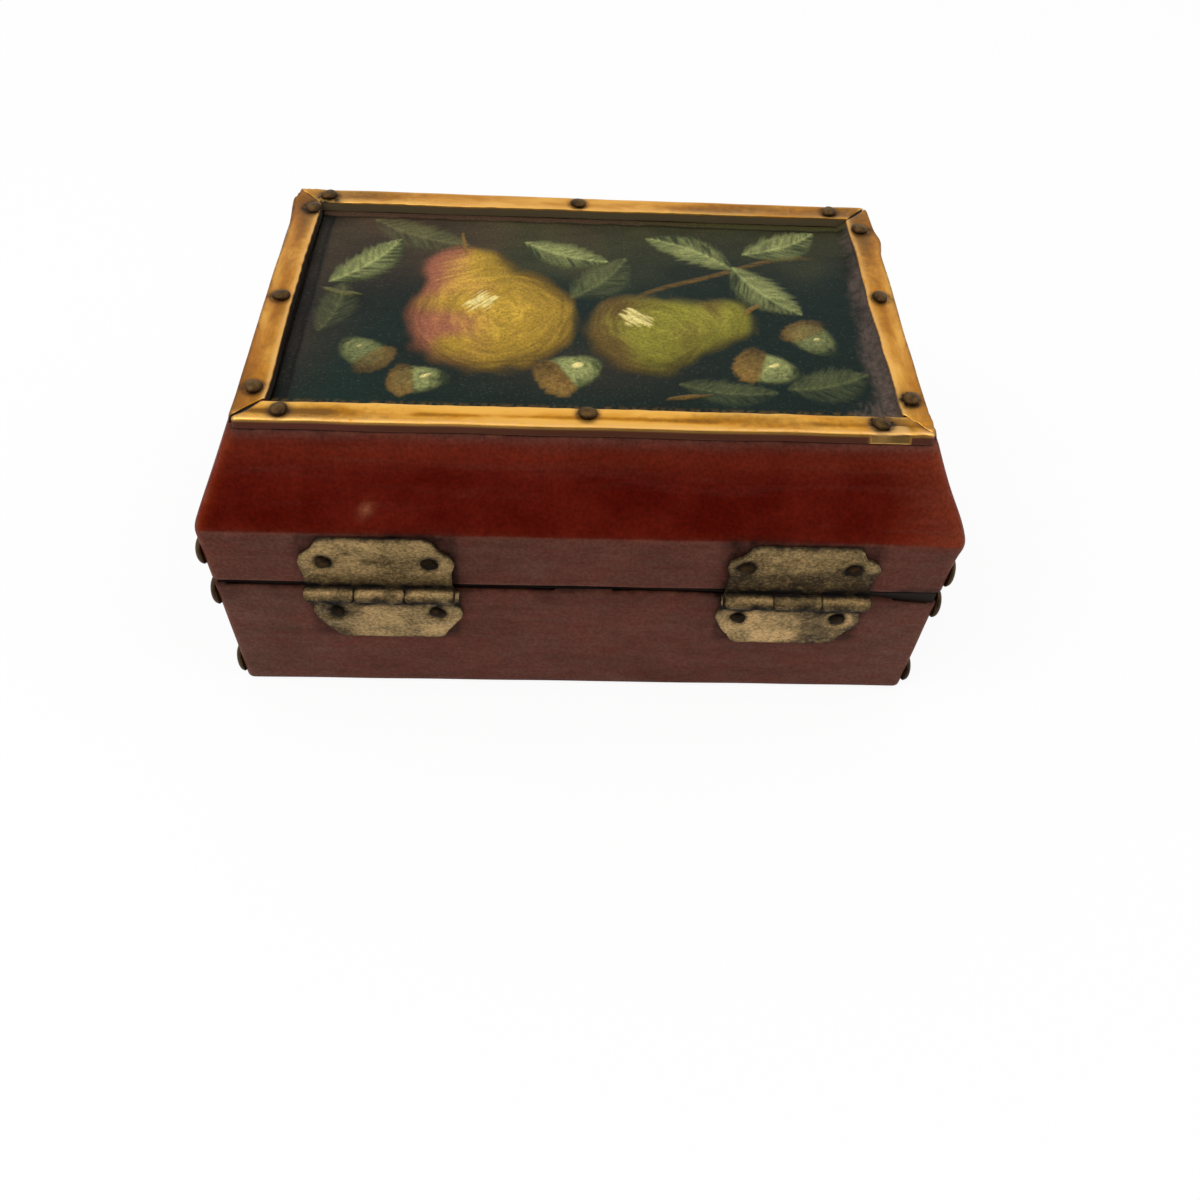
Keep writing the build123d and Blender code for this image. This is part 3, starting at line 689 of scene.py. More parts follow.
def wood_material(boards):
    """Stained pine boards, sawn and planed, blacked at the rims: grain lines 2 mm apart."""
    material, tree = new_material("blackened_pine")
    place = add_node(tree, "TexCoord", output="Object")
    along = add_node(tree, "Mapping", None, {"Vector": place, "Scale": (0.07, 0.07, 1.0)})
    grain = add_node(
        tree, "TexNoise", None,
        {"Vector": along, "Scale": per_mm(2.0), "Detail": 5.0, "Roughness": 0.6, "Distortion": 0.6},
    )
    share = add_node(tree, "MapRange", None, {"Value": grain, "From Min": 0.35, "From Max": 0.65})
    # The near-black blacking also stands in for the shade in the parting gap
    tone = add_node(tree, "Mix", COLOUR, {0: share, 6: boards.dark[:], 7: boards.light[:]}, 2)
    pores = add_node(tree, "TexNoise", None, {"Vector": along, "Scale": per_mm(0.4), "Detail": 2.0})
    relief = add_node(tree, "Math", TIMES_PLUS, {0: grain, 1: 1.5, 2: pores})
    surface = add_node(tree, "Bump", None, {"Height": relief, "Distance": 0.0001, "Strength": 0.5})
    rough = add_node(tree, "MapRange", None, {"Value": grain, "To Min": 0.55, "To Max": 0.75})
    wood = add_node(
        tree, "BsdfPrincipled", None,
        {"Base Color": tone, "Roughness": rough, "Normal": surface, "IOR": 1.25},
    )
    add_node(tree, "OutputMaterial", None, {"Surface": wood})
    return material


def pile_material(name, dark, light, pile):
    """Cotton velvet or wool felt: a short pile, crushed lighter and darker where it was stroked."""
    material, tree = new_material(name)
    place = add_node(tree, "TexCoord", output="Object")
    # Strokes about 17 mm wide, and fibres drawn as coarse as the pile so that they show
    stroke = add_node(
        tree, "TexNoise", None,
        {"Vector": place, "Scale": per_mm(17), "Detail": 3.0, "Roughness": 0.5, "Distortion": 0.3},
    )
    fibre = add_node(
        tree, "TexNoise", None, {"Vector": place, "Scale": per_mm(pile), "Detail": 3.0, "Roughness": 0.8}
    )
    both = add_node(tree, "Math", TIMES_PLUS, {0: fibre, 1: 0.6, 2: stroke})
    share = add_node(tree, "MapRange", None, {"Value": both, "From Min": 0.45, "From Max": 1.15})
    tone = add_node(tree, "Mix", COLOUR, {0: share, 6: dark, 7: light}, 2)
    surface = add_node(tree, "Bump", None, {"Height": both, "Distance": 0.0003, "Strength": 0.6})
    cloth = add_node(
        tree, "BsdfPrincipled", None,
        {
            "Base Color": tone, "Roughness": 0.9, "Normal": surface,
            "Sheen Weight": 0.35, "Sheen Roughness": 0.4, "Sheen Tint": light,
        },
    )
    add_node(tree, "OutputMaterial", None, {"Surface": cloth})
    return material


def paint_material(panel):
    """Oil paint on gessoed board under a resin varnish: the paint is in the panel's own colours."""
    material, tree = new_material("varnished_oil_paint")
    place = add_node(tree, "TexCoord", output="Object")
    paint = add_node(tree, "Attribute", {"attribute_name": "paint"}, output="Color")
    # Gesso tooth, 0.6 mm apart, shows through the thin dark ground
    tooth = add_node(
        tree, "TexNoise", None,
        {"Vector": place, "Scale": per_mm(0.6), "Detail": 3.0, "Roughness": 0.8},
    )
    speckle = add_node(
        tree, "MapRange", None,
        {"Value": tooth, "From Min": 0.32, "From Max": 0.68, "To Min": 0.62, "To Max": 1.42},
    )
    toned = add_node(tree, "Mix", SHADED, {0: 0.9, 6: paint, 7: speckle}, 2)
    # The tips of the tooth have lost their paint, as pin points about half a millimetre apart
    tips = add_node(tree, "TexNoise", None, {"Vector": place, "Scale": per_mm(0.55), "Detail": 2.0})
    tipped = add_node(
        tree, "MapRange", None, {"Value": tips, "From Min": 0.6, "From Max": 0.78, "To Max": 0.13}
    )
    toned = add_node(tree, "Mix", COLOUR, {0: tipped, 6: toned, 7: panel.grit[:]}, 2)
    surface = add_node(tree, "Bump", None, {"Height": tooth, "Distance": 0.0001, "Strength": 0.45})
    rough = add_node(tree, "MapRange", None, {"Value": tooth, "To Min": 0.32, "To Max": 0.5})
    oil = add_node(
        tree, "BsdfPrincipled", None,
        {"Base Color": toned, "Roughness": rough, "Normal": surface, "IOR": 1.16},
    )
    add_node(tree, "OutputMaterial", None, {"Surface": oil})
    return material


# Settings


def colour(name, description, hex_colour):
    """One colour setting."""
    return FloatVectorProperty(
        name=name, description=description, subtype="COLOR", size=4, min=0, max=1, default=linear(hex_colour)
    )


def length(name, description, size):
    """One length setting, given in millimetres and kept in metres."""
    return FloatProperty(
        name=name, description=description, default=size / 1000, unit="LENGTH", precision=5
    )


class LeatherSettings(bpy.types.PropertyGroup):
    """Leather of the base and the lid."""

    deep: colour("Deep dye", "Colour where the dye took well", "#4a0902")
    light: colour("Light dye", "Colour where the dye is thin", "#5b1408")
    warm: colour("Warm dye", "Colour of thin dye over the folds", "#7a280d")
    # Dulled is also the colour of the painted milky reflection on the upright faces
    dull_and_sheen: colour("Dulled", "Colour where the wax has dulled", "#62453a")
    stain: colour("Stain", "Old damp stains on the upright sides", "#43352a")
    # Also the colour of the painted highlight at the top of the rear right hip
    worn: colour("Worn", "Colour of rubbed folds and rims", "#8a5238")
    nick: colour("Nick", "Colour at the bottom of a nick", "#b3968a")
    # Also the colour of the painted shade round the hinges, at the parting line and by the brass
    dirt_and_shade: colour("Dirt", "Blackened polish round the hinges", "#1a0d09")
    grain_depth: length("Grain depth", "Depth of the pores", 0.12)
    waviness: length("Waviness", "How far the leather wanders from flat", 0.16)
    break_radius: length("Break radius", "Roundness of the fold between band and slope", 1.6)
    corner_radius: length("Corner radius", "Roundness of the upright corners", 2.0)
    pulled_rim: length("Pulled rim", "How far the rim has drawn back at the rear left corner", 2.6)


class BrassSettings(bpy.types.PropertyGroup):
    """Brass strips round the panel."""

    gold: colour("Gold", "Clean brass", "#efb552")
    # Also the colour of the painted shade along each strip's hollow middle
    tarnish_and_shade: colour("Amber", "Tarnished brass", "#c88408")
    copper: colour("Copper", "Brass that has lost its zinc", "#a5672a")
    brown: colour("Brown", "Spots of old tarnish", "#6e4c20")
    # Also the colour of the painted highlights along the folds
    pale: colour("Pale", "Rubbed folds", "#e6b46c")
    dust: colour("Dust", "Dust on the recess's left wall", "#62524a")
    # The front wall's bloom is a painted reflection of the painting's olive top
    bloom: colour("Bloom", "Bloom on the recess's front wall", "#62543a")
    # Flange colours: oxide, with painted shade and a painted reflection of the red leather
    flange: colour("Flange", "Outer flange", "#562a14")
    mauve: colour("Mauve", "Oxide on the outer flange", "#5a2417")
    # Also the painted shade on the rear and right inner walls and the end strips' outer fold
    grime_and_shade: colour("Grime", "Dirt round the nails", "#2a1e14")
    wander: length("Wander", "How far an edge wanders sideways", 0.3)
    ripple: length("Ripple", "How far a strip's face rises and falls", 0.09)
    dish: length("Dish", "How hollow a strip's face is", 0.16)
    overhang: length("Overhang", "How far the end strips reach out over the leather", 0.6)
    fold_radius: length("Fold radius", "Roundness of a fold", 0.5)
    corner_radius: length("Corner radius", "Roundness of the frame's corners", 1.6)
    flare: length("Flare", "How far the outer flange leans outwards", 1.0)


class HingeSettings(bpy.types.PropertyGroup):
    """Hinges and the parts of the catch."""

    olive: colour("Olive", "Bloom on the brass", "#503f25")
    khaki: colour("Khaki", "Lighter bloom", "#857046")
    # Rubbed is also the colour of the painted highlight along the knuckles' crest
    rubbed: colour("Rubbed", "Rubbed grains of metal", "#d6b178")
    # Also the colour of the painted shade along the barrel and round the hinge nails
    dirt_and_shade: colour("Dirt", "Dirt in corners and round nails", "#1a130c")
    dish: length("Dish", "How far the leaf is pressed in round a nail", 0.3)
    knuckle_radius: length("Knuckle radius", "Outside radius of the barrel", 1.75)


class NailSettings(bpy.types.PropertyGroup):
    """Nails and tacks."""

    dark: colour("Dark", "Browned metal", "#2a1d12")
    brown: colour("Brown", "Lighter rust", "#523b1f")
    rubbed: colour("Rubbed", "Rubbed crown", "#7b5d30")
    grime_and_shade: colour("Grime", "Old polish over the hinge nails", "#1f180e")
    head_radius: length("Head radius", "Radius of the nails in the frame", 1.75)
    head_rise: length("Head rise", "Height of the nails in the frame", 1.05)
    tack_radius: length("Tack radius", "Radius of the tacks at the ends", 3.5)
    tack_rise: length("Tack rise", "Height of the tacks at the ends", 1.8)


class PanelSettings(bpy.types.PropertyGroup):
    """Painted panel in the lid."""

    ground: colour("Ground", "Dark ground of the painting", "#0e201b")
    olive: colour("Olive ground", "Warmer ground along the top", "#3c3a20")
    umber: colour("Umber ground", "Brown patches of the ground", "#443126")
    gold: colour("Gold", "Lit side of the large pear", "#b48f32")
    blush: colour("Blush", "Rosy side of the large pear", "#a8664a")
    russet: colour("Russet", "Shaded side of the pears", "#4c361c")
    lime: colour("Lime", "Lit side of the small pear", "#847d2c")
    moss: colour("Moss", "Shaded side of the small pear", "#6a5426")
    leaf: colour("Leaf", "Shaded leaf", "#2f3720")
    leaf_light: colour("Lit leaf", "Lit leaf and acorn", "#a3a766")
    cap: colour("Cap", "Acorn caps and stalks", "#8a6a34")
    highlight: colour("Highlight", "Thick pale touches", "#ecd98c")
    bare: colour("Bare edge", "Cloth where the paint has rubbed off", "#5a4b43")
    grit: colour("Grit", "Gesso that shows at the tips of the tooth", "#8b8a72")
    relief: length("Relief", "Height of thick paint", 0.16)
    spacing: length("Stroke spacing", "Distance between bristle marks", 0.55)


class LiningSettings(bpy.types.PropertyGroup):
    """Lining, felt and boards."""

    dark: colour("Velvet shade", "Velvet where the pile lies away", "#37090f")
    light: colour("Velvet light", "Velvet where the pile stands", "#66202a")
    felt_dark: colour("Felt shade", "Felt under the box", "#16231b")
    felt_light: colour("Felt light", "Lighter felt", "#2f4536")
    pile: FloatProperty(name="Pile", description="Width of a tuft in millimetres", default=0.7)


class BoardSettings(bpy.types.PropertyGroup):
    """Boards of the carcass."""

    # Blacked wood, near-black partly as painted shade in the parting gap
    dark: colour("Dark grain", "Blacked wood", "#0e0a07")
    light: colour("Light grain", "Wood between the grain lines", "#241a13")


class StageSettings(bpy.types.PropertyGroup):
    """Floor, lamps and camera."""

    eye: FloatVectorProperty(
        name="Eye", description="Where the camera stands", size=3, subtype="TRANSLATION", unit="LENGTH",
        default=(0.0054, 0.1884, 0.2011),
    )
    yaw: FloatProperty(name="Yaw", description="Turn from looking along -Y, in degrees", default=-3.83)
    pitch: FloatProperty(name="Pitch", description="Degrees below level", default=50.83)
    roll: FloatProperty(name="Roll", description="Tilt of the camera, in degrees", default=3.99)
    lens: FloatProperty(name="Lens", description="Focal length in mm on a 36 mm sensor", default=31.35)
    floor: colour("Floor", "Pale floor", "#ffffff")
    key: FloatProperty(name="Key lamp", description="Watts of the lamp at the box's right", default=4.0)
    fill: FloatProperty(name="Fill lamp", description="Watts of the lamp at its left", default=1.6)
    air: FloatProperty(name="Air light", description="Strength of the even light all round", default=0.6)


class BoxSettings(bpy.types.PropertyGroup):
    """All the settings of the box."""

    leather: PointerProperty(type=LeatherSettings)
    brass: PointerProperty(type=BrassSettings)
    hinges: PointerProperty(type=HingeSettings)
    nails: PointerProperty(type=NailSettings)
    panel: PointerProperty(type=PanelSettings)
    lining: PointerProperty(type=LiningSettings)
    boards: PointerProperty(type=BoardSettings)
    stage: PointerProperty(type=StageSettings)


# Pieces


def leather_cover(name, body, material, outer, inner, radii, leather, reshape=None):
    """A leather skin: a closed profile carried round the box.

    The outer line wanders inwards from flat by a sum of sines, never outwards, and reshape may then
    move the points. Wear is the bell curve of the distance to the rims, folds and upright corners,
    with a painted highlight at the top of the rear right hip.
    """
    profile = np.concatenate([outer, inner[::-1]])
    corner = np.concatenate([np.full(len(outer), radii[0]), np.full(len(inner), radii[1])])
    points, direction = ring(profile, corner, HALF_WIDTH, HALF_DEPTH, 9, 1.0)
    # The profile's own normal, as (outwards, up)
    across, up = np.gradient(outer[:, 0]), np.gradient(outer[:, 1])
    size = np.hypot(across, up)
    normal = np.stack(
        [
            direction[:, :1] * (up / size),
            direction[:, 1:] * (up / size),
            np.broadcast_to(across / size, (len(points), len(outer))),
        ],
        axis=-1,
    )
    skin = points[:, : len(outer)]
    depth = leather.waviness * 1000
    wave = uneven(skin, 0.5, (17, 23, 31, 44, 60), 4) - 0.5
    skin += normal * (depth * wave)[..., None]
    if reshape is not None:
        reshape(points)
    x, y, z = points[..., 0], points[..., 1], points[..., 2]
    inset = np.concatenate([outer[:, 0], inner[::-1, 0]])
    hip = np.maximum(HALF_WIDTH - inset - np.abs(x), HALF_DEPTH - inset - np.abs(y))
    rim = np.minimum(np.abs(z - outer[0, 1]), np.abs(z - outer[-1, 1]))
    fold = np.abs(z - BREAK_HEIGHT)
    wear_and_glint = np.clip(0.8 * bump(hip, 0.8) + 0.5 * bump(rim, 0.6) + 0.3 * bump(fold, 0.5), 0, 1)
    # A scuff on the rear slope, above the right hinge
    scuff = np.hypot((x - 42 + 0.5 * (z - 54.5)) / 1.5, (z - 54.5) / 1.9)
    wear_and_glint = np.where(y > 0, np.maximum(wear_and_glint, 1.3 * bump(scuff, 0.8)), wear_and_glint)
    # A painted highlight: the hip is pale at the top of the rear right corner
    wear_and_glint = np.maximum(wear_and_glint, 0.95 * bump(hip, 1.5) * step(z, LID_TOP - 5, LID_TOP - 1) * (x > 0) * (y > 0))
    # The left end has had less handling, and its hips are dull instead
    left_end = step(-x, 55, 75)
    on_lid = z > BREAK_HEIGHT + 0.3
    warm = 0.65 * bump(hip, 1.9) * (1 - 0.5 * left_end) + 0.28 * bump(z - LID_TOP + 3.4, 2.2)
    warm = warm + (0.08 + 0.2 * left_end) * bump(z - BREAK_HEIGHT - 1.0, 1.2) + 0.6 * left_end * on_lid
    # Below the break: a painted milky reflection of the pale floor, with dulled wax
    dull_and_sheen = 1 - step(z, BREAK_HEIGHT - 0.3, BREAK_HEIGHT + 0.3) + 0.8 * bump(z - LID_TOP, 1.5)
    # The slopes are clearest low down, away from the left end
    low_slope = (1 - step(z, BREAK_HEIGHT + 2, LID_TOP - 2)) * on_lid
    dull_and_sheen = dull_and_sheen - 0.3 * low_slope * (1 - left_end)
    # The base is duller towards its ends
    dull_and_sheen = dull_and_sheen + 0.35 * step(np.abs(x), 46, 74) * (z < LID_LOW[2]) + 0.3 * left_end * (z > BREAK_HEIGHT)
    dirt_and_shade = np.zeros(z.shape)
    for middle in HINGES.values():
        beside = np.maximum(np.abs(x - middle) - HINGE_HALF + 0.6, 0)
        above = np.maximum(np.abs(z - PIN[1]) - 14.8, 0)
        away = np.hypot(beside, above)
        # The dark is heavier on the side towards the middle of the box, and above the pin: dirt
        # with the painted shadow of the leaves
        heavy = step(-np.sign(middle) * (x - middle), -10, 12) * step(z, PIN[1] - 12, PIN[1] + 4)
        caked_and_shaded = 0.7 * bump(away, 1.0) + heavy * (0.6 * bump(away, 1.6) + 0.3 * bump(away, 3.5))
        dirt_and_shade = np.maximum(dirt_and_shade, caked_and_shaded)
    dirt_and_shade = dirt_and_shade * step(y, HALF_DEPTH - 2, HALF_DEPTH - 0.6)
    # Painted shade along the parting line, all round the rim, with stains under it, and a
    # painted shadow along the lid's lower edge by the rear left corner
    blots = mottle(x + y, z * 1.6, 7.0, 61)
    dirt_and_shade = dirt_and_shade + 0.45 * bump(z - PIN[1] - 0.3, 1.1)
    dirt_and_shade = dirt_and_shade + 0.45 * blots * bump(z - PIN[1] + 1, 4.0) * (z < PIN[1])
    dirt_and_shade = dirt_and_shade + 0.9 * bump(z - LID_LOW[2], 1.6) * step(-x, 58, 70) * (z > PIN[1] + 0.6) * (y > 0)
    # A line of painted shade beside the front and rear strips, where the brass meets the leather
    strip_line = bump(HALF_DEPTH - SLOPE_INSET - np.abs(y), 1.5)
    dirt_and_shade = dirt_and_shade + 0.8 * strip_line * step(z, LID_TOP - 0.5, LID_TOP - 0.1)
    faces = grid_faces(points.shape[0], points.shape[1], True, True)
    values = {"wear_and_glint": wear_and_glint, "dull_and_sheen": dull_and_sheen, "warm": np.clip(warm, 0, 1), "dirt_and_shade": np.clip(dirt_and_shade, 0, 1)}
    piece(
        name, body, material, points, faces, [name.replace("_skin", "_cover")],
        {key: value.ravel() for key, value in values.items()},
    )


class TRINKET_OT_leather(bpy.types.Operator):
    """Covers the base and the lid with leather"""

    bl_idname = "trinket.leather"
    bl_label = "Leather covers"

    def execute(self, context):
        leather = context.scene.trinket_box.leather
        material = leather_material(leather)
        corner = leather.corner_radius * 1000
        pulled = leather.pulled_rim * 1000
        low, rim = BASE_LOW[2], BASE_HIGH[2]

        def draw_back(points):
            """Lowers the base's rim towards its rear left corner, by a bell curve."""
            x, y, z = points[..., 0], points[..., 1], points[..., 2]
            near = bump(x + HALF_WIDTH, 13.0) * step(y, HALF_DEPTH - 24, HALF_DEPTH - 3)
            z -= pulled * near * step(z, rim - 10, rim)
            z += 0.12 * np.sin(x / 7.3 + y / 5.1) * step(z, rim - 3, rim) - 0.12 * step(z, rim - 3, rim)

        outer = rounded([(LEATHER, low), (0, low), (0, rim), (LEATHER, rim)], (0.4, 0.35), 34)
        inner = rounded([(LEATHER, low + 0.1), (LEATHER, rim - 0.1)], (), 12)
        leather_cover(
            "base_leather_skin", "base", material, outer, inner, (corner, 1.0), leather, draw_back
        )

        def fill_out(points):
            """Fills out the corners above the break, by bell curves of height and distance."""
            x, y, z = points[..., 0], points[..., 1], points[..., 2]
            near = bump(HALF_WIDTH - np.abs(x), 12.0) * bump(HALF_DEPTH - np.abs(y), 12.0)
            full = (0.15 + 0.65 * (x < 0)) * near * bump(z - BREAK_HEIGHT - 4.0, 5.5)
            x += np.sign(x) * full
            y += np.sign(y) * full

        low = LID_LOW[2]
        lean = SLOPE_INSET / (LID_TOP - BREAK_HEIGHT)
        skin_low = LID_TOP - LEATHER
        under = LEATHER + lean * (skin_low - BREAK_HEIGHT)
        tuck = HALF_WIDTH - FRAME_HALF_WIDTH + 2.0
        fold = leather.break_radius * 1000
        outer = rounded(
            [(LEATHER, low), (0, low), (0, BREAK_HEIGHT), (SLOPE_INSET, LID_TOP), (tuck, LID_TOP)],
            (0.35, fold, 0.7),
            60,
        )
        inner = rounded(
            [(LEATHER, low + 0.1), (LEATHER, BREAK_HEIGHT), (under, skin_low), (tuck, skin_low)],
            (0.1, 0.1),
            30,
        )
        leather_cover(
            "lid_leather_skin", "lid", material, outer, inner, (corner, 1.0), leather, fill_out
        )
        return {"FINISHED"}


# Width of the slit at each strip's low and high end; the rear right corner gapes
SLITS = {"rear": (0.12, 0.5), "front": (0.35, 0.06), "right": (0.06, 0.4), "left": (0.35, 0.1)}
# Painted highlight and rubbing along each strip's outer and inner fold, and how far its middle
# length has been rubbed
RUB_AND_HIGHLIGHT = {
    "rear": (0.9, 0.3, 1.3),
    "front": (0.4, 0.3, 1.0),
    "right": (0.0, 0.7, 0.1),
    "left": (0.0, 0.6, 0.4),
}
# Share of the corner's radius that a mitre is cut back, and the distance between a strip's rows
MITRE_CUT = 0.293
STRIP_STEP = 0.55
# How coppery each strip has gone
RUDDY = {"rear": 0.15, "front": 0.5, "right": 0.85, "left": 0.6}


def brass_strip(side, brass, material):
    """One folded strip: its section carried along the side, between two mitres.

    A point of the section stands at reach - across outwards. The outer and the inner edge each
    wander by their own sum of sines, and the width between them is shared out. The point runs
    from one mitre to the other, so its half length falls by its distance across. The face is
    dished, ripples by a sum of sines and dips under each nail by a bell curve. The outer corners
    are rounded: the outer line falls back along a circle, and meets the next strip's on the mitre.
    """
    outward = SIDES[side]
    along = np.abs(outward[[1, 0, 2]])
    wide, deep = FRAME_HALF_WIDTH + brass.overhang * 1000, FRAME_HALF_DEPTH
    reach, half = (wide, deep) if outward[0] else (deep, wide)
    width = STRIP_WIDTH + (brass.overhang * 1000 if outward[0] else 0)
    rise = FRAME_TOP - LID_TOP
    fold = brass.fold_radius * 1000
    outer = rounded([(0, 0), (0, rise), (width, rise), (width, -0.6)], (fold, fold), 50)
    inner = rounded(
        [(SHEET, 0), (SHEET, rise - SHEET), (width - SHEET, rise - SHEET), (width - SHEET, -0.6)],
        (0.2, 0.2),
        50,
    )
    section = np.concatenate([outer, inner[::-1]])
    across, height = section[:, 0], section[:, 1]
    inside = across / width
    rows = int(2 * half / STRIP_STEP)
    share = np.linspace(-1, 1, rows)[:, None]
    bow = 0.35 + 0.65 * np.sin(np.pi * np.clip(inside, 0, 1))
    curve = brass.corner_radius * 1000 * (1 - inside)
    low_end = -(half - across - MITRE_CUT * curve - SLITS[side][0] * bow)
    high_end = half - across - MITRE_CUT * curve - SLITS[side][1] * bow
    run = low_end + (high_end - low_end) * (share + 1) / 2
    ends = 1 - np.abs(share) ** 12
    seed = {"rear": 3, "front": 11, "right": 21, "left": 32}[side]
    line = np.stack([run, np.full(run.shape, reach), np.zeros(run.shape)], axis=-1)
    wander = brass.wander * 1000
    outside = uneven(line, wander, (19, 31, 47, 70), seed)
    inwards = uneven(line, wander, (11, 17, 29, 43), seed + 50)
    inwards = inwards + uneven(line, 0.09, (1.7, 2.6, 4.1), seed + 60)
    if side == "left":
        outside = outside + 0.85 * bump(run + 26, 3.4) - 0.5 * step(run, -5, 30)
    if side == "right":
        outside = outside + 1.1 * bump(run + half, 9.0) - 0.3 * bump(run + 22, 9.0)
        inwards = inwards - 0.6 * bump(run + half, 14.0) + 0.35 * bump(run - 2, 10.0)
    out = reach - across + ends * (outside * (1 - inside) + inwards * inside)
    turned = np.clip((np.abs(run) + across - half) / (curve + 0.001) + 1, 0, 0.7072)
    out = out - curve * (1 - np.sqrt(1 - turned**2))
    # The front right corner is torn a little
    if side in ("front", "right"):
        corner_run = half - run if side == "front" else run + half
        torn = bump(corner_run - 1.6, 0.7) + 0.7 * bump(corner_run - 3.0, 0.5)
        out = out - (0.8 if side == "right" else 0.5) * torn * (1 - step(inside, 0, 0.5))
    # The outer flange leans outwards down to the leather
    flare = brass.flare * 1000 * (0.5 if outward[0] else 1.0)
    out = out + flare * (1 - np.clip(height / rise, 0, 1)) * (1 - step(across, 0.5, 1.2))
    face = step(height, 0.3, rise - 0.2)
    # The dish is deepest along the middle and stops short of the folds
    dish = -brass.dish * 1000 * (1 - np.clip(2 * inside - 1, -1, 1) ** 2)
    rippled = np.stack([run, np.broadcast_to(inside * 3, run.shape), np.zeros(run.shape)], axis=-1)
    ripple = uneven(rippled, brass.ripple * 1000, (7, 12, 19, 33), seed + 1)
    for spot, stray in strip_nails(side):
        ripple = ripple - 0.2 * bump(np.hypot(run - spot, across - width / 2 - stray), 2.6)
    # The rear left corner was folded badly: short creases, and an edge that stands up
    if side in ("rear", "left"):
        at = run + half if side == "rear" else half - run
        creased = bump(at, 9.0)
        ripple = ripple + creased * uneven(rippled, 0.3, (1.9, 2.9, 4.3), seed + 9)
    if side in ("front", "right"):
        at = half - run if side == "front" else run + half
        ripple = ripple + 0.35 * bump(at, 4.5)
    droop = uneven(rippled, 0.16, (9, 15, 24), seed + 4) * (1 - step(height, 0, 0.8)) * (across < 1)
    points = run[..., None] * along + out[..., None] * outward
    points[..., 2] = LID_TOP + height + face * (dish + ripple - 0.03) + np.minimum(droop, 0.05)
    faces = grid_faces(rows, len(section), False, True)
    # Each end is closed by quads between the outer and the inner line
    first = np.arange(len(outer) - 1)
    partner = len(section) - 1 - first
    cap = np.stack([first, first + 1, partner - 1, partner], axis=1)
    faces = np.concatenate([faces, cap, cap + (rows - 1) * len(section)])
    top = height > rise * 0.6
    outer_rub_and_highlight, inner_rub_and_highlight, fresh = RUB_AND_HIGHLIGHT[side]
    # Painted highlights along the outer and inner folds, with rubbing, and at the lifted tips
    rub_and_highlight = outer_rub_and_highlight * bump(across - 0.3, 0.3) + inner_rub_and_highlight * bump(across - width + 0.35, 0.5)
    rub_and_highlight = rub_and_highlight * top + 0 * run
    tip = bump(half - across - np.abs(run), 1.2) * top * (1 - step(inside, 0.1, 0.4))
    aged = {
        "left": step(-run, -14, 30), "front": step(-run, 0, 58), "right": 0.5 * step(np.abs(run + 4), 10, 34)
    }.get(side, 0 * run)
    # Low along the hollow middle of the face, where its amber is painted shade, and high at the folds
    edge = np.abs(2 * inside - 1) ** 1.5 + fresh * bump(run - 11, 28.0) - 0.9 * aged
    if side == "rear":
        # A saffron streak runs along the middle, in broken lengths
        edge = edge - 1.8 * bump(inside - 0.45, 0.12) * step(mottle(run, 0 * run, 9.0, 17), 0.2, 0.6)
    ruddy = RUDDY[side] * (1 - 0.6 * step(inside, 0.4, 0.85)) + 0 * run
    # The inner wall's colour: painted shade at the rear and right, a painted reflection of the painting at
    # the front, and dust at the left
    wall = {"rear": brass.grime_and_shade, "front": brass.bloom, "right": brass.grime_and_shade, "left": brass.dust}[side]
    hidden = np.broadcast_to((inside > 0.9) * (1 - step(height, rise - 0.7, rise - 0.1)), run.shape)
    flange = (1 - step(height, rise - 0.8, rise - 0.3)) * np.ones(run.shape)
    scraped, grime_and_shade = np.zeros(run.shape), np.zeros(run.shape)
    for spot, stray in strip_nails(side):
        grime_and_shade = grime_and_shade + 0.75 * bump(np.hypot(run - spot, across - width / 2 - stray) - 1.9, 0.7)
    if side == "rear":
        at = run + 57.4
        scraped = 0.85 * step(at, -4.2, -3.2) * (1 - step(at, 3.0, 4.2)) * (across < 2.4)
        grime_and_shade = grime_and_shade + 0.95 * bump(np.hypot(at * 0.55, across - 3.6), 2.0)
    if side == "left":
        grime_and_shade = grime_and_shade + 0.8 * bump(np.hypot(run - 30.0, (across - 4.2) * 1.3), 3.0)
    if side in ("front", "right"):
        at = half - run if side == "front" else run + half
        # Dirt has run together between the two nails at the front right corner
        grime_and_shade = grime_and_shade + 1.3 * bump(np.hypot((at - 7.2) / 1.4, across - 4.6), 1.8) + 0.25 * bump(at - 6, 5.0)
    if side in ("right", "left"):
        # A painted dark reflection: the outer fold of the end strips is dark
        grime_and_shade = grime_and_shade + 0.55 * bump(across - 0.1, 0.45) * top
    values = {
        "run": np.stack([run, across + 0 * run, height + 0 * run], axis=-1).reshape(-1, 3) / 1000,
        "rub_and_highlight": np.clip(rub_and_highlight + 0.6 * tip, 0, 1).ravel(),
        "flange": (flange * (1 - 0.9 * (scraped > 0.3))).ravel(),
        "worn": scraped.ravel(),
        "grime_and_shade": np.clip(grime_and_shade, 0, 1).ravel(),
        "edge": edge.ravel(),
        "ruddy": ruddy.ravel(),
        "dust": hidden.ravel().astype(float),
        "wall": np.tile(np.array(wall[:]), (run.size, 1)),
    }
    piece(
        f"folded_strip_{side}", "lid", material, points, faces, [f"brass_strip_{side}"], values
    )


class TRINKET_OT_strips(bpy.types.Operator):
    """Folds the four brass strips round the panel"""

    bl_idname = "trinket.strips"
    bl_label = "Brass strips"

    def execute(self, context):
        brass = context.scene.trinket_box.brass
        material = strip_brass_material(brass)
        for side in SIDES:
            brass_strip(side, brass, material)
        return {"FINISHED"}


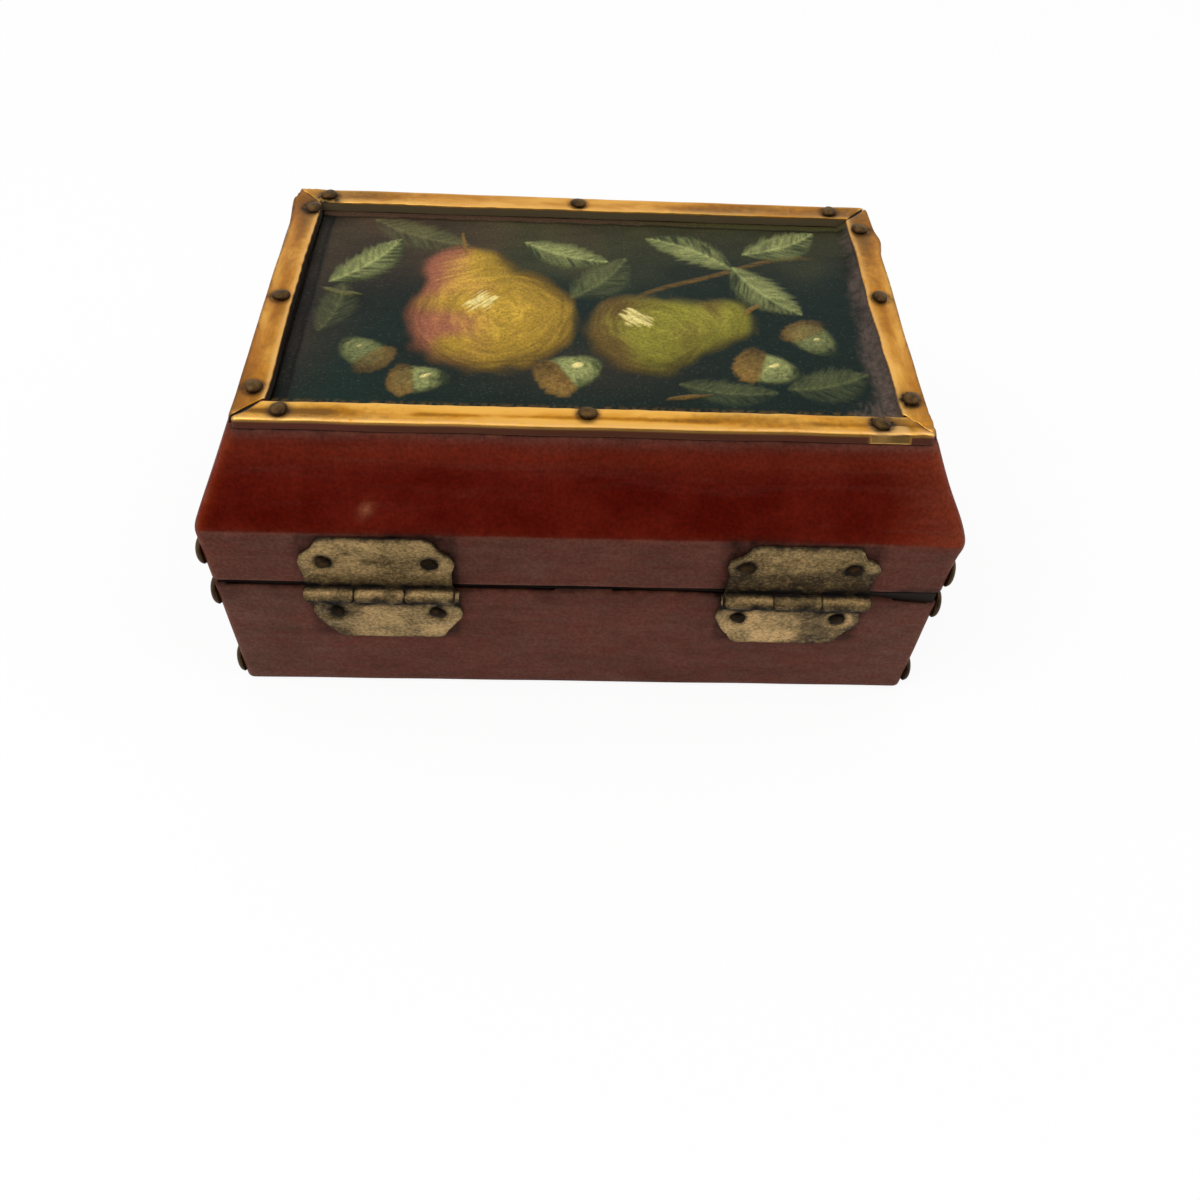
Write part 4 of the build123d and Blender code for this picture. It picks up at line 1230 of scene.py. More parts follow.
def nails(name, body, material, node, head, rise, shank, length, spots, seed, ripple=0.04, grime_and_shade=0.0):
    """A group of like nails. The crown value is 1 on the top of each head and 0 at its rim."""
    profile = nail_profile(head, rise, shank, length)
    points, faces = lathe(profile, spots, seed, ripple)
    crown = np.tile(step(1 - profile[:, 0] / head, 0.0, 0.5) * (profile[:, 1] > 0), NAIL_STEPS * len(spots))
    values = {"crown": crown, "grime_and_shade": np.full(len(crown), grime_and_shade)}
    piece(name, body, material, points, faces, [node], values)


class TRINKET_OT_nails(bpy.types.Operator):
    """Drives the nails of the frame and the hinges, and the tacks at the ends"""

    bl_idname = "trinket.nails"
    bl_label = "Nails and tacks"

    def execute(self, context):
        settings = context.scene.trinket_box.nails
        material = nail_material(settings)
        up = np.array([0.0, 0.0, 1.0])
        spots = []
        for side, outward in SIDES.items():
            reach = (FRAME_HALF_WIDTH if outward[0] else FRAME_HALF_DEPTH) - STRIP_WIDTH / 2
            for mark, stray in strip_nails(side):
                place = outward * (reach - stray) + np.abs(outward[[1, 0, 2]]) * mark
                spots.append((place + up * (FRAME_TOP - 0.16), up))
        head, rise = settings.head_radius * 1000, settings.head_rise * 1000
        nails("frame_nail_heads", "lid", material, "frame_nails", head, rise, 0.6, 5.4, spots, 5, 0.08)
        back = np.array([0.0, 1.0, 0.0])
        for way, node, body in ((1, "upper_hinge_nails", "lid"), (-1, "lower_hinge_nails", "base")):
            spots = [
                (np.array([middle + x, HALF_DEPTH + 0.66, PIN[1] + way * rise]), back)
                for side, middle in HINGES.items()
                for x, rise in HINGE_NAILS[side, way]
            ]
            nails(f"{node}_heads", body, material, node, 1.6, 0.5, 0.6, 5.2, spots, 8, 0.12, 0.8)
        tack, tack_rise = settings.tack_radius * 1000, settings.tack_rise * 1000
        across = HALF_DEPTH - LEATHER - 2.5
        for node, body, marks in (
            ("base_side_tacks", "base", {"right": (4.4, 28.5), "left": (4.4, 28.5)}),
            ("lid_side_tacks", "lid", {"right": (41.3,), "left": (38.7,)}),
        ):
            spots = []
            for side, heights in marks.items():
                outward = SIDES[side]
                for back_side in (-1, 1):
                    for height in heights:
                        place = outward * (HALF_WIDTH - 0.1) + np.array([0, back_side * across, height])
                        spots.append((place, outward))
            nails(f"{node}_heads", body, material, node, tack, tack_rise, 0.8, 9.8, spots, 12)
        return {"FINISHED"}


def knuckle(centre, width, radius, seam, seed):
    """A rolled knuckle: a tube with rounded lips, and a groove where the sheet's end meets it.

    The profile is (distance along the pin, radius) and closes on itself through the bore. The
    radius falls by a bell curve about the seam's angle, and wanders by a sum of sines. The lips
    draw back by another bell curve round the underside, where the file slipped.
    """
    half, bore = width / 2, 0.86
    outline = rounded(
        [(-half, bore), (-half, radius), (half, radius), (half, bore), (-half, bore)], (0.1, 0.1, 0.05), 60
    )[:-1]
    turn = np.linspace(0, 2 * np.pi, 48, endpoint=False)[:, None]
    gap = np.angle(np.exp(1j * (turn - seam)))
    outside = step(outline[:, 1], radius - 0.5, radius)
    spread = outline[:, 1] - 0.34 * bump(gap, 0.14) * outside
    underside = np.angle(np.exp(1j * (turn + 0.35)))
    notch = 0.55 * bump(underside, 0.45) * step(np.abs(outline[:, 0]), half - 1.0, half)
    x = centre + outline[:, 0] - np.sign(outline[:, 0]) * notch
    points = np.stack([x, PIN[0] + spread * np.cos(turn), PIN[1] + spread * np.sin(turn)], axis=-1)
    swell = uneven(points, 0.05, (2.2, 3.7, 6.0), seed) * outside
    points[..., 1] += swell * np.cos(turn)
    points[..., 2] += swell * np.sin(turn)
    points[..., 1] = np.maximum(points[..., 1], HALF_DEPTH + 0.1)
    return points, grid_faces(len(turn), len(outline), True, True).tolist()


def hinge_leaf(side, way, hinges, material, seed):
    """One leaf with its knuckles.

    The leaf's half width follows its height: straight from the barrel, an ear round each nail, a
    small step, and the raised middle. The face is pressed in round the nails by bell curves,
    and wanders by a sum of sines.
    """
    middle, slip = HINGES[side], LEAF_SLIP.get((side, way), 0.0)
    rise = HINGE_RISE
    nail_rise = np.mean([height for _, height in HINGE_NAILS[side, way]])
    marks = [0, 1.6, nail_rise - 2.6, nail_rise, nail_rise + 1.7, rise - 3.3, rise - 2.7, rise - 0.9, rise]
    widths = [15.2, 14.9, 15.0, 15.6, 15.1, 12.9, 12.3, 11.4, 10.4]
    share = np.linspace(-1, 1, 100)
    height = np.linspace(0.2, rise, 60)
    half = np.interp(height, marks, widths)
    up = np.broadcast_to(height[:, None], (60, 100))
    across = slip + share[None, :] * half[:, None]
    # Filed by hand: each edge wanders on its own
    file_marks = np.stack([share[None, :] * 30 + up * 0, up, up * 0], axis=-1)
    across = across + uneven(file_marks, 0.22, (3.1, 4.7, 7.9), seed) * np.abs(share[None, :]) ** 8
    nail = np.min([np.hypot(across - x, up - z) for x, z in HINGE_NAILS[side, way]], axis=0)
    flat = np.stack([middle + across, up * 0.0, up], axis=-1)
    face = HALF_DEPTH + LEAF_SHEET - hinges.dish * 1000 * bump(nail, 2.1) + 0.14 * bump(nail - 3.1, 0.8)
    face = face + uneven(flat, 0.1, (5, 8, 13, 21), seed) + uneven(flat, 0.05, (1.3, 1.9, 2.6), seed + 1)
    points = np.stack([middle + across, face, PIN[1] + way * up], axis=-1)
    points, faces, edge = slab(points, 1, HALF_DEPTH + 0.02)
    cloud = mottle(across, up * 1.6, 5.0, seed)
    rim = (1 - np.abs(share[None, :])) * half[:, None]
    # Darker round the nails, with the painted shadow of each head, and at the leaf's far edge and sides
    grime_and_shade = 1.1 * bump(nail - 1.3, 0.8) + 0.45 * bump(rise - up, 0.5) + 0.35 * bump(rim, 0.5)
    # A line of painted shadow beside the barrel; on the lower leaf it lies as far out as the
    # barrel hides the leaf
    if way > 0:
        grime_and_shade = grime_and_shade + (1.1 * bump(up - 1.3, 0.9) + 0.35 * bump(up - 1.3, 2.2))
    else:
        grime_and_shade = grime_and_shade + bump(up - 3.6, 1.3)
    if (side, way) == ("left", 1):
        # A dark smear over the leaf's lower half and its inner ear
        lit = 0.6 * step(up + 0.06 * across + 1.6 * (cloud - 0.5), 6.6, 9.2)
        grime_and_shade = grime_and_shade + 0.6 * (0.6 - lit) * (0.5 + 0.8 * mottle(across / 3, up, 0.9, seed + 3))
        grime_and_shade = grime_and_shade + 0.5 * bump(np.hypot(across - 12.6, up - 9.5), 2.6)
        rubbed = 0.2 * lit * step(cloud, 0.3, 0.7)
    elif way > 0:
        lit = 0.42 + 0.5 * step(up + 2.0 * (cloud - 0.5), 9.5, 12.5)
        lit = lit - 0.12 * bump(np.hypot(across + 3, up - 8), 4.0)
        rubbed = 0.35 * step(cloud, 0.3, 0.7) * step(up, 4.0, 6.0) * (1 - bump(across + 4, 4.5))
    elif side == "left":
        lit = 0.1 + 0.9 * step(across + 2.0 * (cloud - 0.5), -3.6, -0.4) + 0.9 * bump(nail - 2.3, 0.8)
        grime_and_shade = grime_and_shade + 0.3 * bump(across + 6.0, 2.2)
        rubbed = 0.75 * np.clip(lit, 0, 1) * step(cloud, 0.2, 0.7)
    else:
        lit = 0.8 - 0.6 * step(across + 1.5 * (cloud - 0.5), 5.5, 9.5)
        grime_and_shade = grime_and_shade + 0.6 * bump(np.hypot((across - 7.2) / 1.6, up - 6.9), 1.5)
        rubbed = 0.6 * lit * step(cloud, 0.2, 0.8)
    grime_and_shade = np.concatenate([np.clip(grime_and_shade, 0, 1).ravel(), np.full(len(edge), 0.95)])
    rubbed = np.concatenate([np.clip(rubbed, 0, 1).ravel(), np.zeros(len(edge))])
    lit = np.concatenate([np.clip(lit + 0 * up, 0, 1).ravel(), np.zeros(len(edge))])
    radius = hinges.knuckle_radius * 1000
    third = 2 * HINGE_HALF / 3
    shapes = [(points, faces)]
    for centre in (-third, third) if way > 0 else (0.0,):
        seam = np.radians(-52 if way > 0 else -40)
        tube, tube_faces = knuckle(middle + centre, third - 0.05, radius, seam, seed + 5)
        shapes.append((tube, tube_faces))
        # Painted shade on the barrel: towards the leather, along its underside, in the bore and in the gaps
        # between knuckles, over dirt in patches; and a painted highlight along its crest
        around = np.hypot(tube[..., 1] - PIN[0], tube[..., 2] - PIN[1])
        ends = np.abs(np.abs(tube[..., 0] - middle - centre) - third / 2)
        behind = step(HALF_DEPTH + 2.2 - tube[..., 1], 0, 1.3)
        below = step(PIN[1] + 0.5 - tube[..., 2], 0, 1.3)
        patches = mottle(tube[..., 0], tube[..., 2] * 2, 2.6, seed + 8)
        dirt_and_shade = bump(ends, 0.5) * (0.1 + 0.9 * below) + 0.9 * behind + (around < radius - 0.12) * 0.7
        dirt_and_shade = dirt_and_shade + 0.85 * below + 0.5 * step(patches, 0.35, 0.85) + 0.16
        crest = bump(np.arctan2(tube[..., 2] - PIN[1], tube[..., 1] - PIN[0]) - 0.95, 0.5)
        rub_and_highlight = 1.0 if centre == 0 and side == "right" else 0.55
        grime_and_shade = np.concatenate([grime_and_shade, np.clip(dirt_and_shade, 0, 1).ravel()])
        rubbed = np.concatenate([rubbed, (rub_and_highlight * crest * (1 - np.clip(dirt_and_shade, 0, 1))).ravel()])
        lit = np.concatenate([lit, (0.15 + 0.5 * crest).ravel()])
    points, faces = joined(shapes)
    level, body = ("upper", "lid") if way > 0 else ("lower", "base")
    piece(
        f"{side}_{level}_leaf", body, material, points, faces, [f"{side}_hinge_{level}_leaf"],
        {"grime_and_shade": grime_and_shade, "rubbed": rubbed, "lit": lit}, bevel=0.16,
    )


class TRINKET_OT_hinges(bpy.types.Operator):
    """Presses the leaves and rolls the knuckles of both hinges"""

    bl_idname = "trinket.hinges"
    bl_label = "Hinges"

    def execute(self, context):
        box = context.scene.trinket_box
        material = old_brass_material(box.hinges)
        iron = bpy.data.materials.get("browned_tack_iron") or nail_material(box.nails)
        for seed, side in enumerate(HINGES):
            hinge_leaf(side, 1, box.hinges, material, seed + 40)
            hinge_leaf(side, -1, box.hinges, material, seed + 50)
            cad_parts[f"{side}_hinge_pin"].data.materials.clear()
            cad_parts[f"{side}_hinge_pin"].data.materials.append(iron)
        return {"FINISHED"}


def lay(paint, thick, mask, tint, depth=0.0):
    """Lays one tint over the painting where the mask is 1, and builds up the paint there."""
    tint = np.asarray(tint)
    paint[...] = paint * (1 - mask[..., None]) + tint[..., :3] * mask[..., None]
    thick[...] = np.maximum(thick, depth * mask)


def turned(p, q, place, lean):
    """Distances along and across a direction, from a middle."""
    c, s = np.cos(lean), np.sin(lean)
    return (p - place[0]) * c + (q - place[1]) * s, (q - place[1]) * c - (p - place[0]) * s


def dab(paint, thick, p, q, place, size, lean, tint, seed):
    """A thick touch of paint: an ellipse whose edge is broken by hairs of noise along the stroke."""
    u, v = turned(p, q, place, lean)
    hairs = mottle(u / 3.2, v / 0.42, 1.0, seed)
    body = 1 - (u / size[0]) ** 2 - (v / size[1]) ** 2
    mask = step(1.1 * body + 1.5 * (hairs - 0.5), 0.15, 0.75)
    lay(paint, thick, mask * (0.65 + 0.35 * hairs), tint, 0.8)
    thick += mask * (0.3 + 1.1 * hairs)


def bristles(p, q, centre, width, seed):
    """Bristle marks round a middle, about 0 to 1: value noise on long cells of angle and radius.

    A whole number of cells goes into a turn, so the pattern closes on itself.
    """
    radius = np.hypot(p - centre[0], q - centre[1]) + 2.4 * mottle(p, q, 7.0, seed)
    turn = np.arctan2(q - centre[1], p - centre[0]) / (2 * np.pi) + 0.5
    fine = mottle(turn * 32, radius / width, 1.0, seed + 1, 32)
    broad = mottle(turn * 12, radius / (2.4 * width), 1.0, seed + 2, 12)
    return np.clip(0.6 * fine + 0.55 * broad - 0.05, 0, 1)


def round_tone(p, q, centre, size):
    """Light on a round form: its slope towards the upper left, less its distance out squared."""
    away = np.hypot(p - centre[0], q - centre[1]) / size
    light = (-(p - centre[0]) * 0.3 + (q - centre[1]) * 0.5) / size
    return 0.85 + 0.35 * light - 0.6 * away**2


def pear(paint, thick, p, q, place, lean, body, neck, reach, tints, panel, seed):
    """A pear: the smooth union of a body circle and a neck circle, with a soft edge.

    Its tint runs from the shade through the rosy side to the lit side, and the bristle marks
    shift it lighter and darker.
    """
    direction = np.array([np.cos(lean), np.sin(lean)])
    top = np.array(place) + reach * direction
    one = np.hypot(p - place[0], q - place[1])
    two = np.hypot(p - top[0], q - top[1])
    blend = 0.5 + 0.5 * np.clip(((two - neck) - (one - body)) / 9.0, -1, 1)
    edge = (two - neck) * (1 - blend) + (one - body) * blend - 4.5 * blend * (1 - blend)
    marks = bristles(p, q, (place[0] + 1.5, place[1] + 1.0), panel.spacing * 1000, seed)
    edge = edge + 2.4 * (mottle(p, q, 4.0, seed) - 0.5) + 1.6 * (marks - 0.5)
    mask = 1 - step(edge, -2.4, 1.0)
    along = np.clip((p - place[0]) * direction[0] + (q - place[1]) * direction[1], 0, reach)
    centre = (place[0] + along * direction[0], place[1] + along * direction[1])
    size = body + (neck - body) * along / reach
    tone = round_tone(p, q, centre, size) + 0.32 * (marks - 0.5)
    lit_tint, rosy_tint = (np.array(tint[:3]) for tint in tints)
    side = (-(p - centre[0]) * 0.85 + (q - centre[1]) * 0.1) / size
    rosy = step(side + 0.9 * (mottle(p, q, 7.0, seed + 3) - 0.5), -0.15, 0.7)[..., None]
    skin = lit_tint * (1 - rosy) + rosy_tint * rosy
    shade = skin * 0.2 + np.array(panel.russet[:3]) * 0.35
    warm, lit = step(tone, 0.05, 0.6)[..., None], step(tone, 0.6, 1.05)[..., None]
    tint = (shade * (1 - warm) + skin * 0.8 * warm) * (1 - lit) + (skin * 0.5 + lit_tint * 0.75) * lit
    lay(paint, thick, mask, tint * (0.87 + 0.26 * marks)[..., None], 0.4)
    thick += mask * 0.9 * marks * step(tone, 0.2, 0.8)


def leaf(paint, thick, p, q, place, lean, reach, width, panel, seed, faint=1.0):
    """A leaf: as wide as width * (1 - u^2.1)^0.8 at the share u along its length.

    Its strokes run out from the midrib, as value noise on long slanting cells.
    """
    u, v = turned(p, q, place, lean)
    u = u / reach
    v = v - 0.16 * reach * (u**2)
    span = width * np.clip(1 - np.abs(u) ** 2.1, 0, 1) ** 0.8 + 0.001
    strokes = mottle((u * reach - 0.9 * np.abs(v)) / 0.55, v / 2.6, 1.0, seed)
    ragged = np.abs(v) / span + 0.5 * (strokes - 0.5)
    mask = (1 - step(ragged, 0.62, 1.1)) * (np.abs(u) < 1) * faint
    side = 0.3 + 0.3 * (v > 0) + 0.6 * (strokes - 0.5) - 0.25 * np.abs(u)
    dark, pale = np.array(panel.leaf[:3]), np.array(panel.leaf_light[:3])
    tone = np.clip(side + 0.35 * bump(v, 0.45), 0, 1)[..., None]
    lay(paint, thick, mask * 0.94, dark * (1 - tone) + pale * tone, 0.3)
    thick += mask * 0.8 * strokes


def acorn(paint, thick, p, q, place, lean, size, faint, panel, seed):
    """An acorn: an ellipse with a point, and a cap that is a wider ellipse over its upper end."""
    c, s = np.cos(lean), np.sin(lean)
    u, v = (value / size for value in turned(p, q, place, lean))
    marks = bristles(p, q, place, panel.spacing * 800, seed)
    shape = np.hypot(u / 1.15, v / (0.82 - 0.12 * u)) + 0.3 * (marks - 0.5)
    mask = (1 - step(shape, 0.78, 1.08)) * faint
    dark, pale = np.array(panel.leaf[:3]), np.array(panel.leaf_light[:3])
    share = np.clip(round_tone(p, q, place, size) - 0.15 + 0.8 * (marks - 0.5), 0, 1.15)[..., None]
    lay(paint, thick, mask, dark * (1 - share) + pale * share, 0.4)
    thick += mask * 0.9 * marks
    scales = mottle(u * 8, v * 8, 1.0, seed + 4)
    cap = (1 - step(np.hypot((u + 0.62) / 0.62, v / 0.98) + 0.25 * (scales - 0.5), 0.8, 1.08))
    cap = cap * (1 - step(u, -0.32, -0.12)) * faint
    light = 0.15 + 0.45 * scales + 0.5 * step(-v - 0.3 * u, -0.9, 1.0)
    lay(paint, thick, cap, np.array(panel.cap[:3]) * light[..., None], 0.6)
    thick += cap * 0.7 * scales
    glint = (place[0] + 0.2 * size * c, place[1] + 0.2 * size + 0.2 * size * s)
    pale = np.array(panel.highlight[:3])
    dab(paint, thick, p, q, glint, (1.5 * faint, 0.9 * faint), 0.5, pale * (0.4 + 0.6 * faint), seed + 7)


def still_life(p, q, panel):
    """The painting: pears, leaves and acorns on a dark ground, as colour and thickness.

    Every form is an outline function of the place on the panel, laid over what is behind it.
    """
    ground, olive = np.array(panel.ground[:3]), np.array(panel.olive[:3])
    umber = np.array(panel.umber[:3])
    cloud = mottle(p, q, 16, 1) * 0.55 + mottle(p, q, 7, 2) * 0.3 + mottle(p, q, 3, 3) * 0.15
    warm = np.clip(step(q + 20 * (cloud - 0.5) + 4, 4, 36) * 0.9, 0, 1)[..., None]
    sweep = mottle(p * 0.5 + q * 0.3, q * 1.4 - p * 0.2, 2.2, 4)
    paint = ground * (1 - warm) + olive * warm
    brown = step(0.5 * mottle(p, q, 13, 7) + 0.5 * step(-p + 1.1 * q, -10, 62), 0.45, 0.85)[..., None]
    brown = np.maximum(brown, 0.55 * bump(np.hypot((p + 2) / 26, (q + 20) / 9), 1.0)[..., None])
    brown = np.maximum(brown, 1.5 * bump(np.hypot((p + 44) / 22, (q - 30) / 9), 1.0)[..., None])
    paint = paint * (1 - 0.55 * brown) + umber * 0.55 * brown
    paint = paint * (0.55 + 0.8 * cloud + 0.2 * (sweep - 0.5))[..., None]
    # Towards the right the ground is a colder, darker green
    colder = (0.8 * step(p, 10, 44) * (1 - step(q, 6, 24)))[..., None]
    paint = paint * (1 - colder) + ground * 0.75 * colder
    thick = 0.1 * sweep + 0.2 * mottle(p, q, 1.4, 6)
    # Dim leaves and an acorn far back in the dark
    for place, lean, reach, width, seed, faint in (
        ((49, -24), 0.3, 9, 5.5, 91, 0.3),
        ((-38, 25), -0.4, 12, 5.5, 92, 0.3),
        ((-52, -2), 1.4, 9, 4.5, 93, 0.22),
        ((4, 10), 0.9, 10, 5.5, 94, 0.35),
        ((28, -27), -0.1, 10, 4.0, 95, 0.28),
    ):
        leaf(paint, thick, p, q, place, lean, reach, width, panel, seed, faint)
    # Branch: a bent line from the upper right to the pears
    bend = 20 - 0.010 * (p - 52) ** 2 + 1.2 * np.sin(p / 6.0)
    twig = (1 - step(np.abs(q - bend), 0.4, 1.1)) * step(p, 6, 14) * (1 - step(p, 44, 54))
    bark = np.array(panel.cap[:3]) * (0.2 + 0.6 * mottle(p, q * 4, 2, 9))[..., None]
    lay(paint, thick, twig * 0.7, bark, 0.4)
    for place, lean, reach, width, seed in (
        ((45, 25), 0.5, 10, 5.2, 11),
        ((38, 7), -0.9, 11, 5.4, 12),
        ((24, 23), 2.6, 11, 5.2, 13),
        ((-47, 14), 0.9, 11, 5.0, 15),
    ):
        leaf(paint, thick, p, q, place, lean, reach, width, panel, seed)
    pear(paint, thick, p, q, (13.0, -8.0), 0.3, 14.0, 8.0, 16.0, (panel.lime, panel.moss), panel, 21)
    pear(paint, thick, p, q, (-20.0, -4.0), 1.95, 18.5, 9.5, 18.0, (panel.gold, panel.blush), panel, 31)
    leaf(paint, thick, p, q, (-5, 19), -0.35, 10, 4.8, panel, 14)
    for place, lean, size, faint, seed in (
        ((47.5, -9.0), -1.0, 5.6, 0.6, 62),
        ((37.0, -19.0), -0.3, 6.0, 0.95, 63),
        ((-45.0, -17.0), 2.4, 5.4, 0.55, 64),
        ((-3.0, -21.5), 0.5, 6.4, 1.0, 61),
        ((-33.0, -25.0), 0.1, 5.2, 0.8, 65),
    ):
        acorn(paint, thick, p, q, place, lean, size, faint, panel, seed)
    pale, cap = np.array(panel.highlight[:3]), np.array(panel.cap[:3])
    for place, size, lean, tint, seed in (
        ((-22.5, 1.0), (4.2, 3.0), 0.85, pale, 71),
        ((10.5, -3.5), (4.0, 2.8), -0.7, pale, 72),
        ((-27.4, 22.6), (4.6, 0.8), 1.7, cap * 0.8, 73),
        ((35.4, 1.0), (3.6, 0.8), 0.75, cap * 0.8, 74),
        ((-52.0, 3.0), (5.0, 0.8), -0.25, olive * 3.0, 75),
        ((20.0, -28.5), (4.6, 0.8), 0.2, cap * 0.6, 76),
    ):
        dab(paint, thick, p, q, place, size, lean, tint, seed)
    # Darker in one corner, painted shade round the rim under the brass, and a dark crease with a
    # band of painted shade down the low side
    paint *= (1 - 0.75 * bump(np.hypot(p + 58.5, q - 32.5), 4.5))[..., None]
    half_wide, half_deep = 60.4, 34.4
    rim = np.minimum(half_wide - np.abs(p), half_deep - np.abs(q))
    paint *= (0.4 + 0.6 * step(rim + 2.5 * mottle(p, q, 5, 50), 0.9, 4.4))[..., None]
    crease = half_wide + p + 1.2 * (mottle(p, q, 5, 51) - 0.5)
    paint *= (1 - 0.75 * bump(crease - 2.6, 0.5) - 0.45 * (1 - step(crease, 1.8, 3.0)))[..., None]
    # Brown dust by the rear strip
    speck = mottle(p, q, 0.7, 52)
    dust = (1 - step(half_deep + q, 1.6, 3.2)) * step(speck, 0.3, 0.7)
    lay(paint, thick, dust * 0.7, np.array(panel.cap[:3]) * 0.55, 0.2)
    # Along the front strip a band in the painting's own tints, a painted reflection in the brass wall, with a
    # line of painted shade at its inner side
    far = half_deep - q + 0.6 * mottle(p, q, 3, 53)
    green = step(p, -10, 40)[..., None]
    lay(paint, thick, (1 - step(far, 1.9, 2.4)) * 0.85, umber * 1.3 * (1 - green) + olive * 1.2 * green, 0.1)
    paint *= (1 - 0.6 * bump(far - 2.5, 0.35))[..., None]
    # Along the other end the paint has rubbed off, and the cloth turns up against the brass
    scratch = mottle(p * 2.2, q * 0.8, 1.1, 81)
    edge = half_wide - p + 2.2 * (mottle(p, q, 3.5, 82) - 0.5) + 1.0 * (mottle(p, q, 0.9, 83) - 0.5)
    edge = edge + 0.045 * (q + 34)
    rubbed = (1 - step(edge, 2.2, 5.4)) * (0.75 + 0.25 * step(scratch, 0.2, 0.6))
    corner = 1 - step(np.hypot(p - 57, (q + 33) * 1.2), 3.5, 7.0)
    rubbed = np.maximum(rubbed, 0.7 * corner * step(scratch, 0.15, 0.6))
    lay(paint, thick, rubbed * 0.8, np.array(panel.bare[:3]) * (0.8 + 0.4 * scratch)[..., None], 0.1)
    thick += 8.0 * (1 - step(half_wide - p, 0.1, 1.8))
    return np.clip(paint, 0.002, 1), thick


class TRINKET_OT_panel(bpy.types.Operator):
    """Paints the panel in the lid"""

    bl_idname = "trinket.panel"
    bl_label = "Painted panel"

    def execute(self, context):
        panel = context.scene.trinket_box.panel
        low, high = node_box("painted_panel")
        x, y = np.meshgrid(
            np.linspace(low[0], high[0], 390), np.linspace(low[1], high[1], 222), indexing="ij"
        )
        paint, thick = still_life(-x, -y, panel)
        z = high[2] - 0.2 + panel.relief * 1000 * np.clip(thick, 0, 9.0)
        # The cloth at the low end reaches the brass
        x = x - 0.7 * (1 - step(x - low[0], 0.0, 2.0))
        points, faces, edge = slab(np.stack([x, y, z], axis=-1), 2, low[2])
        tint = np.concatenate([paint.reshape(-1, 3), paint.reshape(-1, 3)[edge] * 0.3])
        tint = np.concatenate([tint, np.ones((len(tint), 1))], axis=1)
        piece(
            "oil_painting", "lid", paint_material(panel), points, faces,
            ["painted_panel"], {"paint": tint},
        )
        return {"FINISHED"}


class TRINKET_OT_lining(bpy.types.Operator):
    """Lines the base and the lid with velvet, and pastes felt under the base"""

    bl_idname = "trinket.lining"
    bl_label = "Lining and felt"

    def execute(self, context):
        lining = context.scene.trinket_box.lining
        velvet = pile_material("wine_velvet", lining.dark[:], lining.light[:], lining.pile)
        for name, node, body, way in (
            ("base_velvet_floor", "base_lining_floor", "base", 1),
            ("lid_velvet_top", "lid_lining_top", "lid", -1),
        ):
            low, high = node_box(node)
            points, faces = pad(low + 0.05, high - 0.05, 1.5, 0.25, 0.35)
            if way < 0:
                points[..., 2] = low[2] + high[2] - points[..., 2]
            piece(name, body, velvet, points, faces, [node])
        low, high = node_box("base_lining_rear")
        half_x, half_y = high[0], high[1]
        outer = rounded([(0, low[2]), (0, high[2])], (), 16)
        inner = rounded([(0, high[2]), (LINING, high[2]), (LINING, low[2] + 0.7)], (0.3,), 24)
        self.wall("base", velvet, outer, inner, half_x, half_y)
        low, high = node_box("lid_lining_rear")
        bend = BREAK_HEIGHT - 0.22
        lean = SLOPE_INSET / (LID_TOP - BREAK_HEIGHT)
        top = (high[2] - bend) * lean
        outer = rounded([(0, low[2]), (0, bend), (top, high[2])], (0.5,), 24)
        inner = rounded(
            [(top, high[2]), (top + LINING, high[2]), (LINING, bend - 0.2), (LINING, low[2]), (0, low[2])],
            (0.1, 0.8, 0.3),
            40,
        )
        self.wall("lid", velvet, outer, inner, half_x, half_y)
        low, high = node_box("underside_felt")
        points, faces = pad(low, high, 2.0, 0.02, 0.25)
        felt = pile_material("wool_felt", lining.felt_dark[:], lining.felt_light[:], 1.1)
        piece("felt_underside", "base", felt, points, faces, ["underside_felt"])
        return {"FINISHED"}

    @staticmethod
    def wall(body, velvet, outer, inner, half_x, half_y):
        """Velvet round the four walls: a closed profile carried round the inside of the boards."""
        profile = np.concatenate([outer, inner])
        radii = np.full(len(profile), 0.25)
        points, _ = ring(profile, radii, half_x, half_y, 4, 3.0)
        faces = grid_faces(points.shape[0], points.shape[1], True, True)
        nodes = [f"{body}_lining_{side}" for side in ("front", "rear", "left", "right")]
        piece(f"{body}_velvet_walls", body, velvet, points, faces, nodes)


def worn_copy(node, name, body, material, bevel):
    """A copy of a CAD solid with its triangles joined up and its edges rounded."""
    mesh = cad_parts[node].data.copy()
    mesh.name = name
    shell = bmesh.new()
    shell.from_mesh(mesh)
    bmesh.ops.remove_doubles(shell, verts=shell.verts, dist=1e-6)
    bmesh.ops.dissolve_limit(
        shell, angle_limit=np.radians(2), verts=shell.verts, edges=shell.edges
    )
    shell.to_mesh(mesh)
    shell.free()
    mesh.shade_smooth()
    mesh.materials.clear()
    mesh.materials.append(material)
    made = bpy.data.objects.new(name, mesh)
    bpy.context.collection.objects.link(made)
    wear_edges(made, bevel, 35)
    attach(made, body)
    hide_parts(node)


